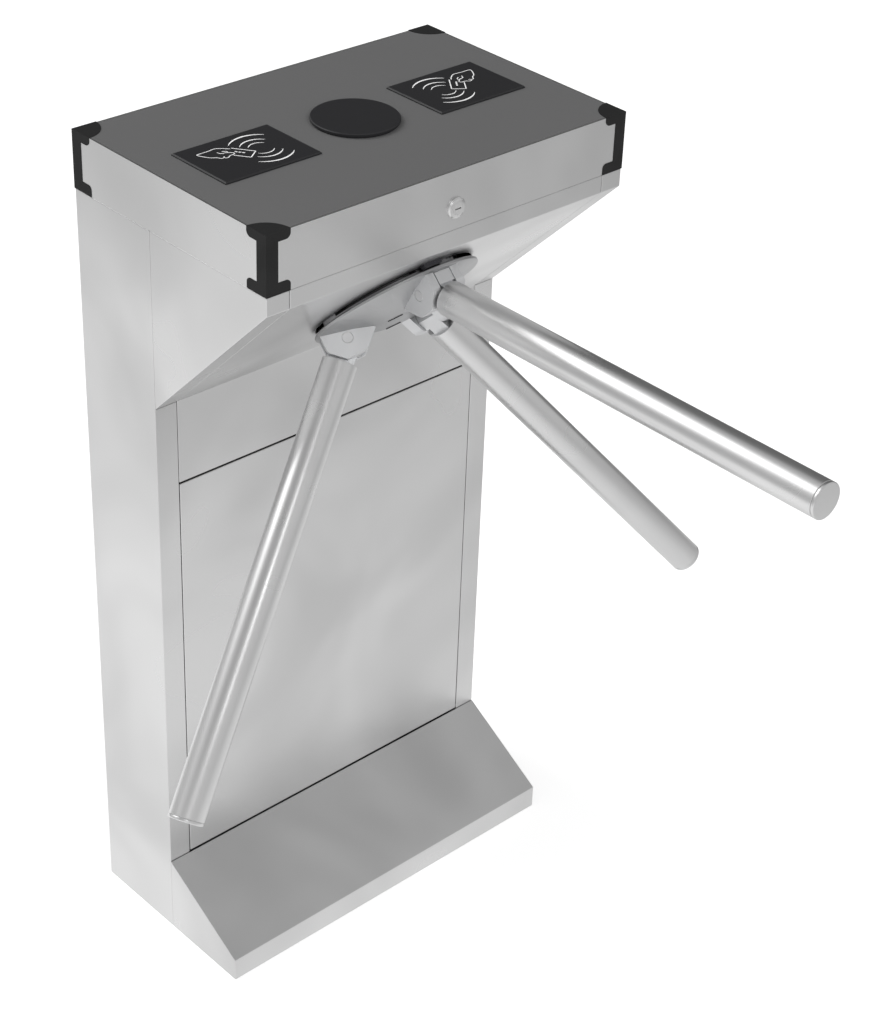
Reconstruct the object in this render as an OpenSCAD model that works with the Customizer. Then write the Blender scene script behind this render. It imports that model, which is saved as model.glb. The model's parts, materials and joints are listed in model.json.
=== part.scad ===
// Tripod turnstile: a folded stainless housing with a hinged lid, and a
// rotor of three drop arms on a shaft square to the head's sloping underside.
// Origin: on the floor, at the centre of the anchor holes. +Z up, -Y towards
// the passage, +X to the right of someone who faces the arms.

/* [Housing] */
// Width of the housing
body_w = 480; // [460:5:540]
// Height from the floor to the top panel
body_h = 980; // [940:5:1020]
// Depth of the foot on the floor
foot_d = 245; // [235:1:270]
// Depth of the column
column_d = 125; // [120:1:135]
// Depth of the lid
lid_d = 310; // [304:1:320]
// Height of the lid
lid_h = 65; // [60:1:75]
// Height of the upright band under the lid
band_h = 20; // [14:1:30]
// Slope of the head's underside, from level
slope_a = 45; // [43:1:47]
// Thickness of the housing sheet
sheet_t = 2; // [1.5:0.25:2.5]
// Width of the folded flanges beside the front panels
flange_w = 28; // [22:1:34]
// Width of the narrow lips at open sheet edges
lip_w = 14; // [10:1:18]
// Hairline gap between neighbouring sheets
seam = 0.4; // [0.3:0.1:0.8]

/* [Foot] */
// Height where the foot's slope meets the column
skirt_h = 100; // [80:1:120]
// Height of the foot's toe
toe_h = 30; // [20:1:40]
// Thickness of the floor plate
floor_t = 8; // [6:1:12]
// Spacing of the anchor holes across the width
anchor_x = 360; // [320:5:400]
// Spacing of the anchor holes along the depth
anchor_y = 150; // [130:5:160]
// Diameter of an anchor hole
anchor_d = 14; // [12:1:18]
// Width of the cable cut-out in the floor plate
cable_w = 160; // [120:5:200]
// Depth of the cable cut-out in the floor plate
cable_d = 50; // [40:1:60]

/* [Service door] */
// Height of the upright front between the slope and the door
door_drop = 100; // [80:5:140]
// Gap above the door
door_gap_top = 2; // [1:0.5:4]
// Gap at the other edges of the door
door_gap = 0.8; // [0.5:0.1:1.5]
// Depth of the door's folded edges
door_edge = 15; // [10:1:20]
// Diameter of a door peg
peg_d = 8; // [6:1:10]
// Distance of the pegs from the door's side edges
peg_in = 22; // [18:1:30]

/* [Lid] */
// Thickness of the top panel
panel_t = 4; // [3:0.5:6]
// Width of the ledge under the top panel
ledge_w = 15; // [10:1:20]
// Reach of a corner guard's feet along the edges
guard_l = 29; // [24:1:36]
// Width of a corner guard's neck on each face
guard_neck = 14; // [10:1:18]
// Thickness of a corner guard
guard_t = 3; // [2.5:0.5:4]
// How far a corner guard stands proud of the lid
guard_proud = 0.5; // [0:0.25:1]
// Width of a card reader plate
reader_w = 120; // [100:1:130]
// Depth of a card reader plate
reader_d = 87; // [70:1:95]
// Thickness of a card reader plate
reader_t = 2.4; // [2:0.2:5]
// Shift of a reader's centre from the middle of its field towards the indicator
reader_shift = 3; // [0:0.5:8]
// Distance of the readers and the indicator behind the lid's front
reader_in = 154.5; // [140:0.5:165]
// Diameter of the round indicator cap
lamp_d = 94; // [80:1:100]
// Thickness of the indicator cap
lamp_t = 3; // [2:0.5:6]
// Height of the recessed foot of the indicator cap
lamp_foot = 1.8; // [1:0.2:3]

/* [Lock and lid hinges] */
// Diameter of the lock's front ring
lock_ring_d = 23; // [20:1:28]
// Diameter of the lock's barrel
lock_d = 19; // [16:0.5:20]
// Diameter of the lock's turning plug
plug_d = 12.5; // [10:0.5:14]
// Height of the lock above the lid's lower edge
lock_up = 24; // [20:1:28]
// Length of the lock's barrel behind the lid's front
lock_l = 22; // [18:1:26]
// Reach of the lock's cam
cam_l = 30; // [26:1:34]
// Diameter of a lid hinge's knuckle
knuckle_d = 10; // [8:1:14]
// Diameter of a lid hinge's pin
hinge_pin_d = 5; // [4:0.5:6]
// Width of a lid hinge
hinge_w = 60; // [50:1:80]
// Distance of a lid hinge from the middle
hinge_x = 150; // [120:5:180]

/* [Rotor] */
// Diameter of the rotor disc
disc_d = 190; // [180:1:196]
// Thickness of the disc's rim
rim_t = 4.6; // [4:0.2:6]
// Gap between the slope and the back of the disc
disc_gap = 4.6; // [4.2:0.1:6]
// Distance of the hub centre above the middle of the slope
hub_up = 5; // [0:1:8]
// Depth of the arms' meeting point behind the slope
apex_d = 43.2; // [41:0.1:45]
// Distance of the arm pins from the arms' meeting point
pin_s = 93; // [92:0.5:95]
// How far the disc reaches over the edge of the slope's round opening
opening_in = 4; // [2:0.5:8]

/* [Arms] */
// Outside diameter of an arm tube
arm_d = 38; // [34:0.5:40]
// Wall of an arm tube
arm_wall = 1.5; // [1.2:0.1:2.5]
// Length from the arms' meeting point to an arm's tip
arm_reach = 613; // [560:1:620]
// Diameter of an arm pin
arm_pin_d = 12; // [10:0.5:13]
// Width over the two cheeks that hold an arm
clevis_w = 44; // [42:0.5:46]
// Gap between the two cheeks
clevis_gap = 22.4; // [21:0.2:24]
// Reach of a cheek around its arm pin
cheek_r = 25; // [24.6:0.1:25.2]
// Distance from the arm pin to the start of the tube
root_u = 24; // [23.8:0.1:28]

/* [Bearings and shaft] */
// Diameter of the shaft
shaft_d = 25; // [24:0.5:26]
// Outside diameter of a bearing
bearing_d = 52; // [52:0.5:56]
// Width of a bearing
bearing_w = 15; // [14:0.5:17]
// Diameter of a bearing ball
ball_d = 7.8; // [7:0.1:8]
// Balls in a bearing
balls = 9; // [7:1:9]
// Distance between the two bearings
bearing_apart = 26; // [22:1:27]

/* [Mechanism] */
// Diameter of the index disc
index_d = 92; // [90:1:93]
// Thickness of the index disc and of the pawls
index_t = 8; // [7:0.5:8]
// Diameter of the index roller
roller_d = 16; // [14:1:17]
// Length of the index lever between its centres
lever_l = 44; // [43:0.5:46]
// Module of the damper gears
gear_m = 1.5; // [1.4:0.05:1.55]
// Teeth of the gear on the shaft
gear_n = 36; // [32:1:36]
// Teeth of the damper's pinion
pinion_n = 18; // [17:1:18]
// Thickness of the damper gears
gear_t = 8; // [7:0.5:8]
// Diameter of the damper
damper_d = 40; // [36:1:44]
// Length of the damper
damper_l = 30; // [24:1:34]

/* [Hidden] */

// Faces on a full circle
$fn = 64;
// Overrun of a cut past a face
over = 1;
// Radial clearance of a running fit
run = 0.05;
// Radial clearance of a fixed fit
fix = 0.02;
// Seat gap between pieces of different bodies
seat = 0.3;
// Half and double
half = 1 / 2;

// Planes of the housing
rear_y = foot_d / 2;
toe_y = -foot_d / 2;
col_y = rear_y - column_d;
front_y = rear_y - lid_d;
side_x = body_w / 2;
in_x = side_x - sheet_t;
panel_x = side_x - flange_w;
body_top = body_h - lid_h;
band_z = body_top - band_h;
slope_run = col_y - front_y;
slope_z = band_z - slope_run * tan(slope_a);
door_top = slope_z - door_drop;
// Rise of the inner bend line per sheet thickness
bend_share = (1 - sin(slope_a)) / cos(slope_a);
skirt_a = atan((skirt_h - toe_h) / (col_y - toe_y));

// Hub centre on the outer face of the slope
hub_y = (front_y + col_y) / 2 - hub_up * cos(slope_a);
hub_z = (band_z + slope_z) / 2 + hub_up * sin(slope_a);

// Angle between an arm and the rotor's axis, so that the top arm is level
arm_a = 90 - slope_a;
arm_turns = [120, 0, -120];
pin_y = pin_s * sin(arm_a);
pin_z = pin_s * cos(arm_a) - apex_d;

// Rotor disc: heights above the slope, and radii as shares of the disc
disc_r = disc_d / 2;
opening_d = disc_d - 2 * opening_in;
rim_z = disc_gap + rim_t;
cone_h = 8.4;
dome_h = 6.6;
crown_h = 1.8;
kink_z = rim_z + cone_h;
dome_z = kink_z + dome_h;
crown_z = dome_z + crown_h;
kink_share = 0.62;
dome_share = 0.43;
crown_share = 0.37;
rim_edge = rim_t / 4;
// Two short raised marks beside the centre of the disc
mark_l = 17;
mark_w = 1.2;
mark_h = 1;
mark_off = 24;
mark_in = 12.5;

// Cheek outline around its pin, as shares of the cheek's reach
cheek_shares = [
    [1.008, -0.6], [1.008, 0.064], [0.984, 0.244], [0.388, 0.808],
    [-0.472, 0.808], [-0.652, 0.672], [-1.24, 0.116], [-1.232, -0.36]
];
// Tongue outline around its pin, as shares of the cheek's reach
tongue_shares = [
    [0.968, -0.49], [0.968, 0.034], [-0.2, 0.82], [-0.6, 0.42],
    [-0.6, -0.02], [-0.2, -0.2], [0, -0.25]
];
tongue_gap_left = 1.7;
tongue_gap_right = 0.3;
tongue_x0 = tongue_gap_left - clevis_gap / 2;
tongue_x1 = clevis_gap / 2 - tongue_gap_right;
eye_r = 15;
eye_boss_r = 11;
// Neck between the eye and the tube, as tall as the tube's bore lets in
neck_w = 17;
neck_gap = 0.2;
neck_u0 = 4;
tube_in_r = arm_d / 2 - arm_wall;
neck_h = 2 * sqrt(pow(tube_in_r - neck_gap, 2) - pow(neck_w / 2, 2));
plug_in = 12;
plug_l = 26;
cap_t = 4;
cap_spigot = 10;
cap_edge = 0.8;
pin_edge = 0.5;
pocket_gap = 0.6;
// Outline of the disc's hollow on the hub's side of a pin, which the tongue and
// the neck of a dropped arm swing through, as shares of the cheek's reach
pocket_shares = [
    [0, -0.624], [-0.45, -0.624], [-0.86, -0.23], [-0.97, -0.2],
    [-0.97, 0.97], [0, 0.97]
];
screw_d = 6;
screw_head_d = 11;
screw_head_t = 3;
screw_l = 14;
screw_ring_r = 28;
cheek_screw_shares = [-0.5, 0.5];

// Bearing stack behind the slope, from the front
flange_gap = 0.6;
shaft_flange_d = 76;
spigot_d = 28;
spigot_l = 8;
spigot_gap = 1;
bearing_z = -4;
front_in_z = bearing_z - bearing_w;
rear_out_z = front_in_z - bearing_apart;
rear_in_z = rear_out_z - bearing_w;
housing_flange_d = 154;
housing_flange_t = 12;
housing_wall = 8;
housing_d = bearing_d + 2 * housing_wall;
housing_lip = 2;
housing_end_z = rear_in_z - housing_lip;
step_in = 4;
step_r = bearing_d / 2 - step_in;
race_t = 4.1;
race_in_r = shaft_d / 2 + race_t;
race_out_r = bearing_d / 2 - race_t;
ball_pitch_r = (race_in_r + race_out_r) / 2;
spacer_in = 0.5;
spacer_d = 2 * (race_in_r - spacer_in);
lug_w = 26;
lug_t = 5;
lug_over = 12;
// Raised pads and rims of the housing, seen in the gap round the disc
pad_w = 50;
pad_in_r = 70;
pad_side = 2;
pad_r = opening_d / 2 - pad_side;
pad_gap = 0.4;
pad_z = disc_gap - pad_gap;
pad_rim_w = 8;
pad_rim_t = 2;
sensor_w = 23;
sensor_d = 7;
sensor_side = 0.5;

// Mechanism plates behind the slope
plate_z = -housing_flange_t;
plate_t = 8;
plate_back_z = plate_z - plate_t;
plate_hw = 120;
plate_y0 = -108;
plate_y1 = 92;
plate_corner = 30;
rail_w = 25;
rail_t = 3;
index_gap = 4;
index_z1 = housing_end_z - index_gap;
index_z0 = index_z1 - index_t;
index_hub_wall = 3;
index_hub_d = shaft_d + 2 * index_hub_wall;
lever_gap = 2.5;
lever_t = 7;
lever_z1 = index_z0 - lever_gap;
lever_z0 = lever_z1 - lever_t;
gear_gap = 1.5;
gear_z1 = lever_z0 - gear_gap;
gear_z0 = gear_z1 - gear_t;
nut_t = 6;
nut_d = 34;
nut_z0 = gear_z0 - nut_t;
rear_gap = 3;
rear_z1 = nut_z0 - rear_gap;
rear_t = 6;
rear_z0 = rear_z1 - rear_t;
rear_hw = 72;
rear_y0 = -86;
rear_y1 = 28;
rear_hole_d = 44;
standoff_d = 14;
standoff_at = [[62, 20], [40, -76]];
post_d = 10;
post_end = 1;

// Index disc
index_r = index_d / 2;
scallop_r = 20;
scallop_deep = 10;
notch_w = 11.2;
notch_deep = 6.5;
roller_r = roller_d / 2;
roller_y = -(index_r + roller_r + seat);
roller_pin_d = 8;
lever_drop = 3;
lever_x = -sqrt(lever_l * lever_l - lever_drop * lever_drop);
lever_y = roller_y + lever_drop;
lever_end_r = 10;
lever_w = 12;
spring_wire = 1.6;
spring_r = post_d / 2 + spring_wire;
spring_turns = 8;
spring_steps = 12;
spring_sides = 6;

// Pawls
pawl_out = 12;
pawl_x = index_r + pawl_out;
pawl_y = -38;
pawl_w = 12;
pawl_up = 46;
pawl_tail = 28;
pawl_hub_r = 9.5;
nose_w = 6;
nose_gap = 0.8;
magnet_d = 24;
magnet_l = 28;
magnet_gap = 4.6;
magnet_y = -58;
magnet_plate = 4;

// Gears
gear_r = gear_m * gear_n / 2;
pinion_r = gear_m * pinion_n / 2;
centre_d = gear_r + pinion_r;
pressure_a = 20;
backlash = 0.16;
addendum_share = 0.95;
dedendum_share = 1.25;
flank_steps = 4;
pinion_shaft_d = 10;
spindle_room = 2;
spindle_gap = 1;
damper_ear = 7;
damper_flange_d = damper_d + 2 * damper_ear;
damper_flange_t = 5;
damper_bore_l = 18;

// Foot details
anchor_r = anchor_d / 2;
cable_in = 12;
cable_y = rear_y - column_d / 2 - cable_in;

// Door details
door_bottom = skirt_h + door_gap;
door_x = panel_x - door_gap;
peg_x = door_x - peg_in;
peg_up = 60;
peg_foot_d = 18;
peg_foot_t = 2;
peg_tip = 4;
bracket_h = 26;
bracket_side = 1;
bracket_hole_side = 8;
bracket_gap = 3;
bracket_y = col_y + door_edge + bracket_gap;

// Lid details
lid_z = body_top + seam;
ledge_t = sheet_t;
guard_top_h = 9.5;
guard_low_h = 12;
guard_top_r = 6;
guard_low_r = 5;
reader_y = front_y + reader_in;
reader_edge = 1.2;
module_w = 104;
module_d = 72;
module_t = 14;
lamp_r = lamp_d / 2;
reader_x = (lamp_r + side_x) / 2 - reader_shift;
lamp_foot_in = 1.6;
lamp_edge = 0.8;
lamp_board_d = 84;
lamp_board_t = 9;

// Lock details
lock_z = lid_z + lock_up;
lock_ring_t = 3.5;
lock_nut_d = 27;
lock_nut_t = 4;
cam_w = 12;
cam_t = 3;
key_w = 8;
key_t = 1.4;
key_deep = 4;
plug_tail = 7;
strike_gap = 2;
strike_w = 22;
strike_x = 17;
strike_y = front_y + lip_w - sheet_t;

// Lid hinge details
knuckle_r = knuckle_d / 2;
hinge_y = rear_y + knuckle_r + seat;
hinge_z = body_top + seam / 2;
leaf_t = 2;
leaf_h = 30;
leaf_gap = 0.8;
knuckle_share = 0.26;

// Control box and power supply on the rear wall
box_w = 200;
box_h = 150;
box_d = 42;
box_down = 20;
box_z = door_top - box_down - box_h;
box_lid_t = 3;
box_rib = 2;
supply_w = 160;
supply_h = 90;
supply_d = 50;
supply_gap = 100;
supply_z = box_z - supply_gap - supply_h;
foot_tab = 12;

// Places children in the hub's frame: +Z away from the slope, +Y up the slope
module hub() {
    translate([0, hub_y, hub_z])
        rotate([180 - slope_a, 0, 0])
            children();
}

// Places children at an arm's pin: X along the pin, Y outwards, Z as the hub's
module at_pin(i) {
    hub()
        rotate([0, 0, arm_turns[i]])
            translate([0, pin_y, pin_z])
                children();
}

// Places children in an arm's frame: +Z along the arm from its pin
module along_arm(i) {
    at_pin(i)
        rotate([-arm_a, 0, 0])
            children();
}

// Round bar from height z0 to height z1
module bar(d, z0, z1) {
    translate([0, 0, z0])
        cylinder(d = d, h = z1 - z0);
}

// Box from one corner to the opposite one
module box(a, b) {
    translate(a)
        cube(b - a);
}

// Y-Z outline pulled along X from x0 to x1
module along_x(x0, x1) {
    translate([x0, 0, 0])
        rotate([90, 0, 90])
            linear_extrude(x1 - x0)
                children();
}

// Outline pulled evenly to both sides of the X axis
module across(w) {
    along_x(-w / 2, w / 2)
        children();
}

module both_sides() {
    children();
    mirror([1, 0, 0])
        children();
}

// Points of an outline given as shares of one size
function scaled(shares, size) = [for (p = shares) p * size];

// Housing

module base_plate() {
    color("dimgray")
        difference() {
            box([-in_x, toe_y + sheet_t, 0], [in_x, rear_y - sheet_t, floor_t]);
            for (x = [-half, half], y = [-half, half])
                translate([x * anchor_x, y * anchor_y, -over])
                    cylinder(r = anchor_r, h = floor_t + 2 * over);
            box([-cable_w / 2, cable_y - cable_d / 2, -over],
                [cable_w / 2, cable_y + cable_d / 2, floor_t + over]);
        }
}

function skirt_z(y) = toe_h + (y - toe_y) * tan(skirt_a);

module base_cover() {
    y1 = col_y - seam;
    drop = sheet_t / cos(skirt_a);
    y0 = toe_y + sheet_t;
    color("silver") {
        along_x(-side_x, side_x)
            polygon([
                [y1, skirt_z(y1)], [toe_y, toe_h], [toe_y, 0], [y0, 0],
                [y0, skirt_z(y0) - drop], [y1, skirt_z(y1) - drop]
            ]);
        both_sides()
            along_x(in_x, side_x)
                polygon([
                    [y1, 0], [y1, skirt_z(y1) - drop / 2],
                    [y0, skirt_z(y0) - drop / 2], [y0, 0]
                ]);
    }
}

module column_shell() {
    color("silver") {
        both_sides() {
            box([in_x, col_y, 0], [side_x, rear_y, body_top]);
            box([panel_x, col_y, floor_t],
                [in_x + sheet_t / 2, col_y + sheet_t, slope_z]);
            box([in_x - lip_w, col_y, body_top - sheet_t],
                [side_x, rear_y, body_top]);
        }
        box([-in_x, rear_y - sheet_t, 0], [in_x, rear_y, body_top]);
        box([-in_x, rear_y - lip_w, body_top - sheet_t],
            [in_x, rear_y, body_top]);
    }
}

// Height of the slope's outer face at depth y
function slope_at(y) = slope_z + (col_y - y) * tan(slope_a);

module cheek() {
    y1 = col_y - seam;
    y0 = front_y + sheet_t;
    along_x(in_x, side_x)
        polygon([
            [y1, body_top], [front_y, body_top], [front_y, band_z],
            [y1, slope_at(y1)]
        ]);
    along_x(panel_x, side_x)
        polygon([
            [front_y, body_top], [front_y, band_z], [y1, slope_at(y1)],
            [y1, slope_at(y1) + sheet_t / cos(slope_a)],
            [y0, band_z + bend_share * sheet_t], [y0, body_top]
        ]);
    box([in_x - lip_w, front_y, body_top - sheet_t], [side_x, y1, body_top]);
}

module head_cheek_right() {
    color("silver")
        cheek();
}

module head_cheek_left() {
    color("silver")
        mirror([1, 0, 0])
            cheek();
}

module front_panel() {
    y0 = front_y + sheet_t;
    y1 = col_y + sheet_t;
    rise = bend_share * sheet_t;
    x1 = panel_x - seam;
    color("silver")
        difference() {
            union() {
                along_x(-x1, x1)
                    polygon([
                        [front_y, body_top], [front_y, band_z],
                        [col_y, slope_z], [col_y, door_top],
                        [y1, door_top], [y1, slope_z + rise],
                        [y0, band_z + rise], [y0, body_top]
                    ]);
                box([-x1, front_y, body_top - sheet_t],
                    [x1, front_y + lip_w, body_top]);
                box([-x1, col_y, door_top],
                    [x1, col_y + lip_w, door_top + sheet_t]);
            }
            hub()
                bar(opening_d, -sheet_t - over, over);
        }
}

module service_door() {
    top = door_top - door_gap_top;
    y1 = col_y + door_edge;
    color("silver")
        difference() {
            box([-door_x, col_y, door_bottom], [door_x, y1, top]);
            box([-door_x + sheet_t, col_y + sheet_t, door_bottom + sheet_t],
                [door_x - sheet_t, y1 + over, top - sheet_t]);
        }
}

// Places children at the four pegs: +Z into the housing
module at_pegs() {
    for (x = [-1, 1], z = [door_bottom + peg_up, door_top - door_gap_top - peg_up])
        translate([x * peg_x, col_y + sheet_t, z])
            rotate([-90, 0, 0])
                children();
}

module door_pegs() {
    l = bracket_y + sheet_t - col_y - sheet_t;
    color("gainsboro")
        at_pegs()
            rotate_extrude()
                polygon([
                    [0, 0], [peg_foot_d / 2, 0], [peg_foot_d / 2, peg_foot_t],
                    [peg_d / 2, peg_foot_t], [peg_d / 2, l],
                    [peg_d / 4, l + peg_tip], [0, l + peg_tip]
                ]);
}

module door_brackets() {
    x0 = peg_x - peg_d / 2 - bracket_hole_side;
    x1 = panel_x + bracket_gap;
    y0 = col_y + sheet_t;
    color("darkgray")
        for (z = [door_bottom + peg_up, door_top - door_gap_top - peg_up])
            both_sides()
                difference() {
                    translate([0, 0, z - bracket_h / 2]) {
                        box([x1, y0, 0], [in_x - bracket_side, y0 + sheet_t, bracket_h]);
                        box([x1, y0, 0],
                            [x1 + sheet_t, bracket_y + sheet_t, bracket_h]);
                        box([x0, bracket_y, 0],
                            [x1 + sheet_t, bracket_y + sheet_t, bracket_h]);
                    }
                    translate([peg_x, bracket_y - over, z])
                        rotate([-90, 0, 0])
                            cylinder(d = peg_d + 2 * run, h = sheet_t + 2 * over);
                }
}

// Lid

// Foot of a corner guard, with its free corner rounded at the lower side
module guard_foot(l, h, r) {
    square([l - r, h]);
    translate([0, r])
        square([l, h - r]);
    intersection() {
        square([l, h]);
        translate([l - r, r])
            circle(r);
    }
}

// Face of a corner guard: x from the corner, y up from the lid's lower edge
module guard_face() {
    l = guard_l + guard_proud;
    h = body_h + guard_proud - lid_z;
    square([guard_neck + guard_proud, h]);
    translate([0, h - guard_top_h - guard_proud])
        guard_foot(l, guard_top_h + guard_proud, guard_top_r);
    translate([0, guard_low_h])
        mirror([0, 1])
            guard_foot(l, guard_low_h, guard_low_r);
}

// Corner guard at the front left corner
module guard() {
    translate([-side_x - guard_proud, front_y - guard_proud, lid_z]) {
        translate([0, guard_t, 0])
            rotate([90, 0, 0])
                linear_extrude(guard_t)
                    guard_face();
        rotate([90, 0, 90])
            linear_extrude(guard_t)
                guard_face();
        translate([0, 0, body_h + guard_proud - lid_z - guard_t])
            intersection() {
                cylinder(r = guard_l + guard_proud, h = guard_t);
                cube([guard_l + guard_proud, guard_l + guard_proud, guard_t]);
            }
    }
}

module four_guards() {
    both_sides() {
        guard();
        translate([0, front_y + rear_y, 0])
            mirror([0, 1, 0])
                guard();
    }
}

module corner_guards() {
    color([0.12, 0.12, 0.12])
        four_guards();
}

module lid_shell() {
    ledge_z = body_h - panel_t - ledge_t;
    color("silver")
        difference() {
            box([-side_x, front_y, lid_z], [side_x, rear_y, body_h]);
            box([-in_x, front_y + sheet_t, lid_z - over],
                [in_x, rear_y - sheet_t, ledge_z]);
            box([-in_x + ledge_w, front_y + sheet_t + ledge_w, ledge_z - over],
                [in_x - ledge_w, rear_y - sheet_t - ledge_w, body_h + over]);
            box([-in_x, front_y + sheet_t, body_h - panel_t],
                [in_x, rear_y - sheet_t, body_h + over]);
            translate([0, front_y - over, lock_z])
                rotate([-90, 0, 0])
                    cylinder(d = lock_d + 2 * fix, h = sheet_t + 2 * over);
            four_guards();
        }
}

module top_panel() {
    color([0.38, 0.38, 0.39])
        difference() {
            box([-in_x, front_y + sheet_t, body_h - panel_t],
                [in_x, rear_y - sheet_t, body_h]);
            four_guards();
        }
}

// Plate with four bevelled upper edges
module reader_plate(x) {
    w = reader_w / 2;
    d = reader_d / 2;
    lower = reader_t - reader_edge;
    color([0.13, 0.13, 0.14])
        translate([x, reader_y, body_h])
            intersection() {
                across(reader_w)
                    polygon([
                        [-d, 0], [d, 0], [d, lower], [d - reader_edge, reader_t],
                        [-d + reader_edge, reader_t], [-d, lower]
                    ]);
                rotate([0, 0, 90])
                    across(reader_d)
                        polygon([
                            [-w, 0], [w, 0], [w, lower],
                            [w - reader_edge, reader_t],
                            [-w + reader_edge, reader_t], [-w, lower]
                        ]);
            }
}

module reader_plate_left() {
    reader_plate(-reader_x);
}

module reader_plate_right() {
    reader_plate(reader_x);
}

module reader_modules() {
    z1 = body_h - panel_t;
    color("darkslategray")
        both_sides()
            translate([reader_x, reader_y, z1 - module_t])
                difference() {
                    translate([-module_w / 2, -module_d / 2, 0])
                        cube([module_w, module_d, module_t]);
                    translate([-module_w / 2 + sheet_t, -module_d / 2 + sheet_t, -over])
                        cube([module_w - 2 * sheet_t, module_d - 2 * sheet_t,
                              sheet_t + over]);
                }
}

module indicator_cap() {
    z1 = lamp_foot + lamp_t;
    color([0.12, 0.12, 0.13])
        translate([0, reader_y, body_h])
            rotate_extrude($fn = 96)
                polygon([
                    [0, 0], [lamp_r - lamp_foot_in, 0],
                    [lamp_r - lamp_foot_in, lamp_foot], [lamp_r, lamp_foot],
                    [lamp_r, z1 - lamp_edge], [lamp_r - lamp_edge, z1], [0, z1]
                ]);
}

module indicator_board() {
    z1 = body_h - panel_t;
    color("seagreen")
        translate([0, reader_y, 0]) {
            bar(lamp_board_d, z1 - lamp_board_t, z1 - lamp_board_t / 2);
            for (a = [0:60:300])
                rotate([0, 0, a])
                    translate([lamp_board_d / 3, 0, 0])
                        bar(lamp_board_t, z1 - lamp_board_t / 2, z1);
        }
}

// Lock: Z points into the lid

module at_lock() {
    translate([0, front_y, lock_z])
        rotate([-90, 0, 0])
            children();
}

module lock_body() {
    nut_z = sheet_t;
    color("lightgray")
        at_lock()
            difference() {
                union() {
                    rotate_extrude()
                        polygon([
                            [0, -lock_ring_t],
                            [lock_ring_d / 2 - lock_ring_t / 2, -lock_ring_t],
                            [lock_ring_d / 2, -lock_ring_t / 2],
                            [lock_ring_d / 2, 0], [lock_d / 2, 0],
                            [lock_d / 2, lock_l], [0, lock_l]
                        ]);
                    translate([0, 0, nut_z])
                        cylinder(d = lock_nut_d, h = lock_nut_t, $fn = 6);
                }
                bar(plug_d + 2 * run, -lock_ring_t - over, lock_l + over);
            }
}

module lock_plug() {
    color("gainsboro")
        at_lock()
            difference() {
                union() {
                    bar(plug_d, -lock_ring_t, lock_l + seat);
                    bar(plug_tail, lock_l, lock_l + seat + cam_t);
                }
                translate([-key_w / 2, -key_t / 2, -lock_ring_t - over])
                    cube([key_w, key_t, key_deep + over]);
            }
}

module lock_cam() {
    color("slategray")
        at_lock()
            translate([0, 0, lock_l + seat])
                difference() {
                    union() {
                        cylinder(d = cam_w + 2 * cam_t, h = cam_t);
                        translate([-cam_w / 2, 0, 0])
                            cube([cam_w, cam_l, cam_t]);
                    }
                    bar(plug_tail + 2 * fix, -over, cam_t + over);
                }
}

module lock_striker() {
    tab_z = lock_z + cam_w / 2 + strike_gap;
    back = front_y + lock_l + seat + cam_t + strike_gap;
    color("slategray")
        along_x(strike_x, strike_x + strike_w)
            polygon([
                [front_y + sheet_t, body_top], [strike_y, body_top],
                [strike_y, tab_z], [back, tab_z], [back, tab_z + sheet_t],
                [strike_y - sheet_t, tab_z + sheet_t],
                [strike_y - sheet_t, body_top + sheet_t],
                [front_y + sheet_t, body_top + sheet_t]
            ]);
}

// Lid hinges: X along the pin

module at_hinges() {
    for (x = [-hinge_x, hinge_x])
        translate([x, hinge_y, hinge_z])
            children();
}

module knuckle(x0, x1) {
    translate([x0, 0, 0])
        rotate([0, 90, 0])
            cylinder(d = knuckle_d, h = x1 - x0);
}

module hinge_bore(r) {
    translate([-hinge_w, 0, 0])
        rotate([0, 90, 0])
            cylinder(r = hinge_pin_d / 2 + r, h = 2 * hinge_w);
}

module hinge_leaves_body() {
    w = hinge_w / 2;
    k = w * (1 - 2 * knuckle_share);
    y0 = rear_y - hinge_y;
    color("silver")
        at_hinges()
            difference() {
                union() {
                    box([-w, y0, -leaf_h], [w, y0 + leaf_t, -knuckle_r - leaf_gap]);
                    for (s = [[-w, -k], [k, w]]) {
                        knuckle(s[0], s[1]);
                        box([s[0], y0, -knuckle_r - 2 * leaf_gap],
                            [s[1], y0 + leaf_t, -seam / 2]);
                    }
                }
                hinge_bore(fix);
            }
}

module hinge_leaves_lid() {
    w = hinge_w / 2;
    k = w * (1 - 2 * knuckle_share) - leaf_gap / 2;
    y0 = rear_y - hinge_y;
    color("silver")
        at_hinges()
            difference() {
                union() {
                    box([-w, y0, knuckle_r + leaf_gap], [w, y0 + leaf_t, leaf_h]);
                    knuckle(-k, k);
                    box([-k, y0, seam / 2], [k, y0 + leaf_t, knuckle_r + 2 * leaf_gap]);
                }
                hinge_bore(run);
            }
}

module hinge_pins() {
    color("gray")
        at_hinges()
            translate([-hinge_w / 2, 0, 0])
                rotate([0, 90, 0])
                    cylinder(d = hinge_pin_d, h = hinge_w);
}

// Rotor and arms

// The disc's turned outline, without its pockets
module disc_blank() {
    rotate_extrude($fn = 128)
        polygon([
            [0, disc_gap], [disc_r - rim_edge, disc_gap],
            [disc_r, disc_gap + rim_edge], [disc_r, rim_z - rim_edge],
            [disc_r - rim_edge, rim_z], [disc_r * kink_share, kink_z],
            [disc_r * dome_share, dome_z], [disc_r * crown_share, crown_z],
            [0, crown_z]
        ]);
}

module flange_screw_places() {
    for (a = [30:60:330])
        rotate([0, 0, a])
            translate([0, screw_ring_r, flange_gap])
                children();
}

module cheek_screw_places() {
    x = (clevis_w + clevis_gap) / 4;
    for (t = arm_turns, s = [-x, x], y = cheek_screw_shares)
        rotate([0, 0, t])
            translate([s, pin_y + y * cheek_r, disc_gap])
                children();
}

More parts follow.
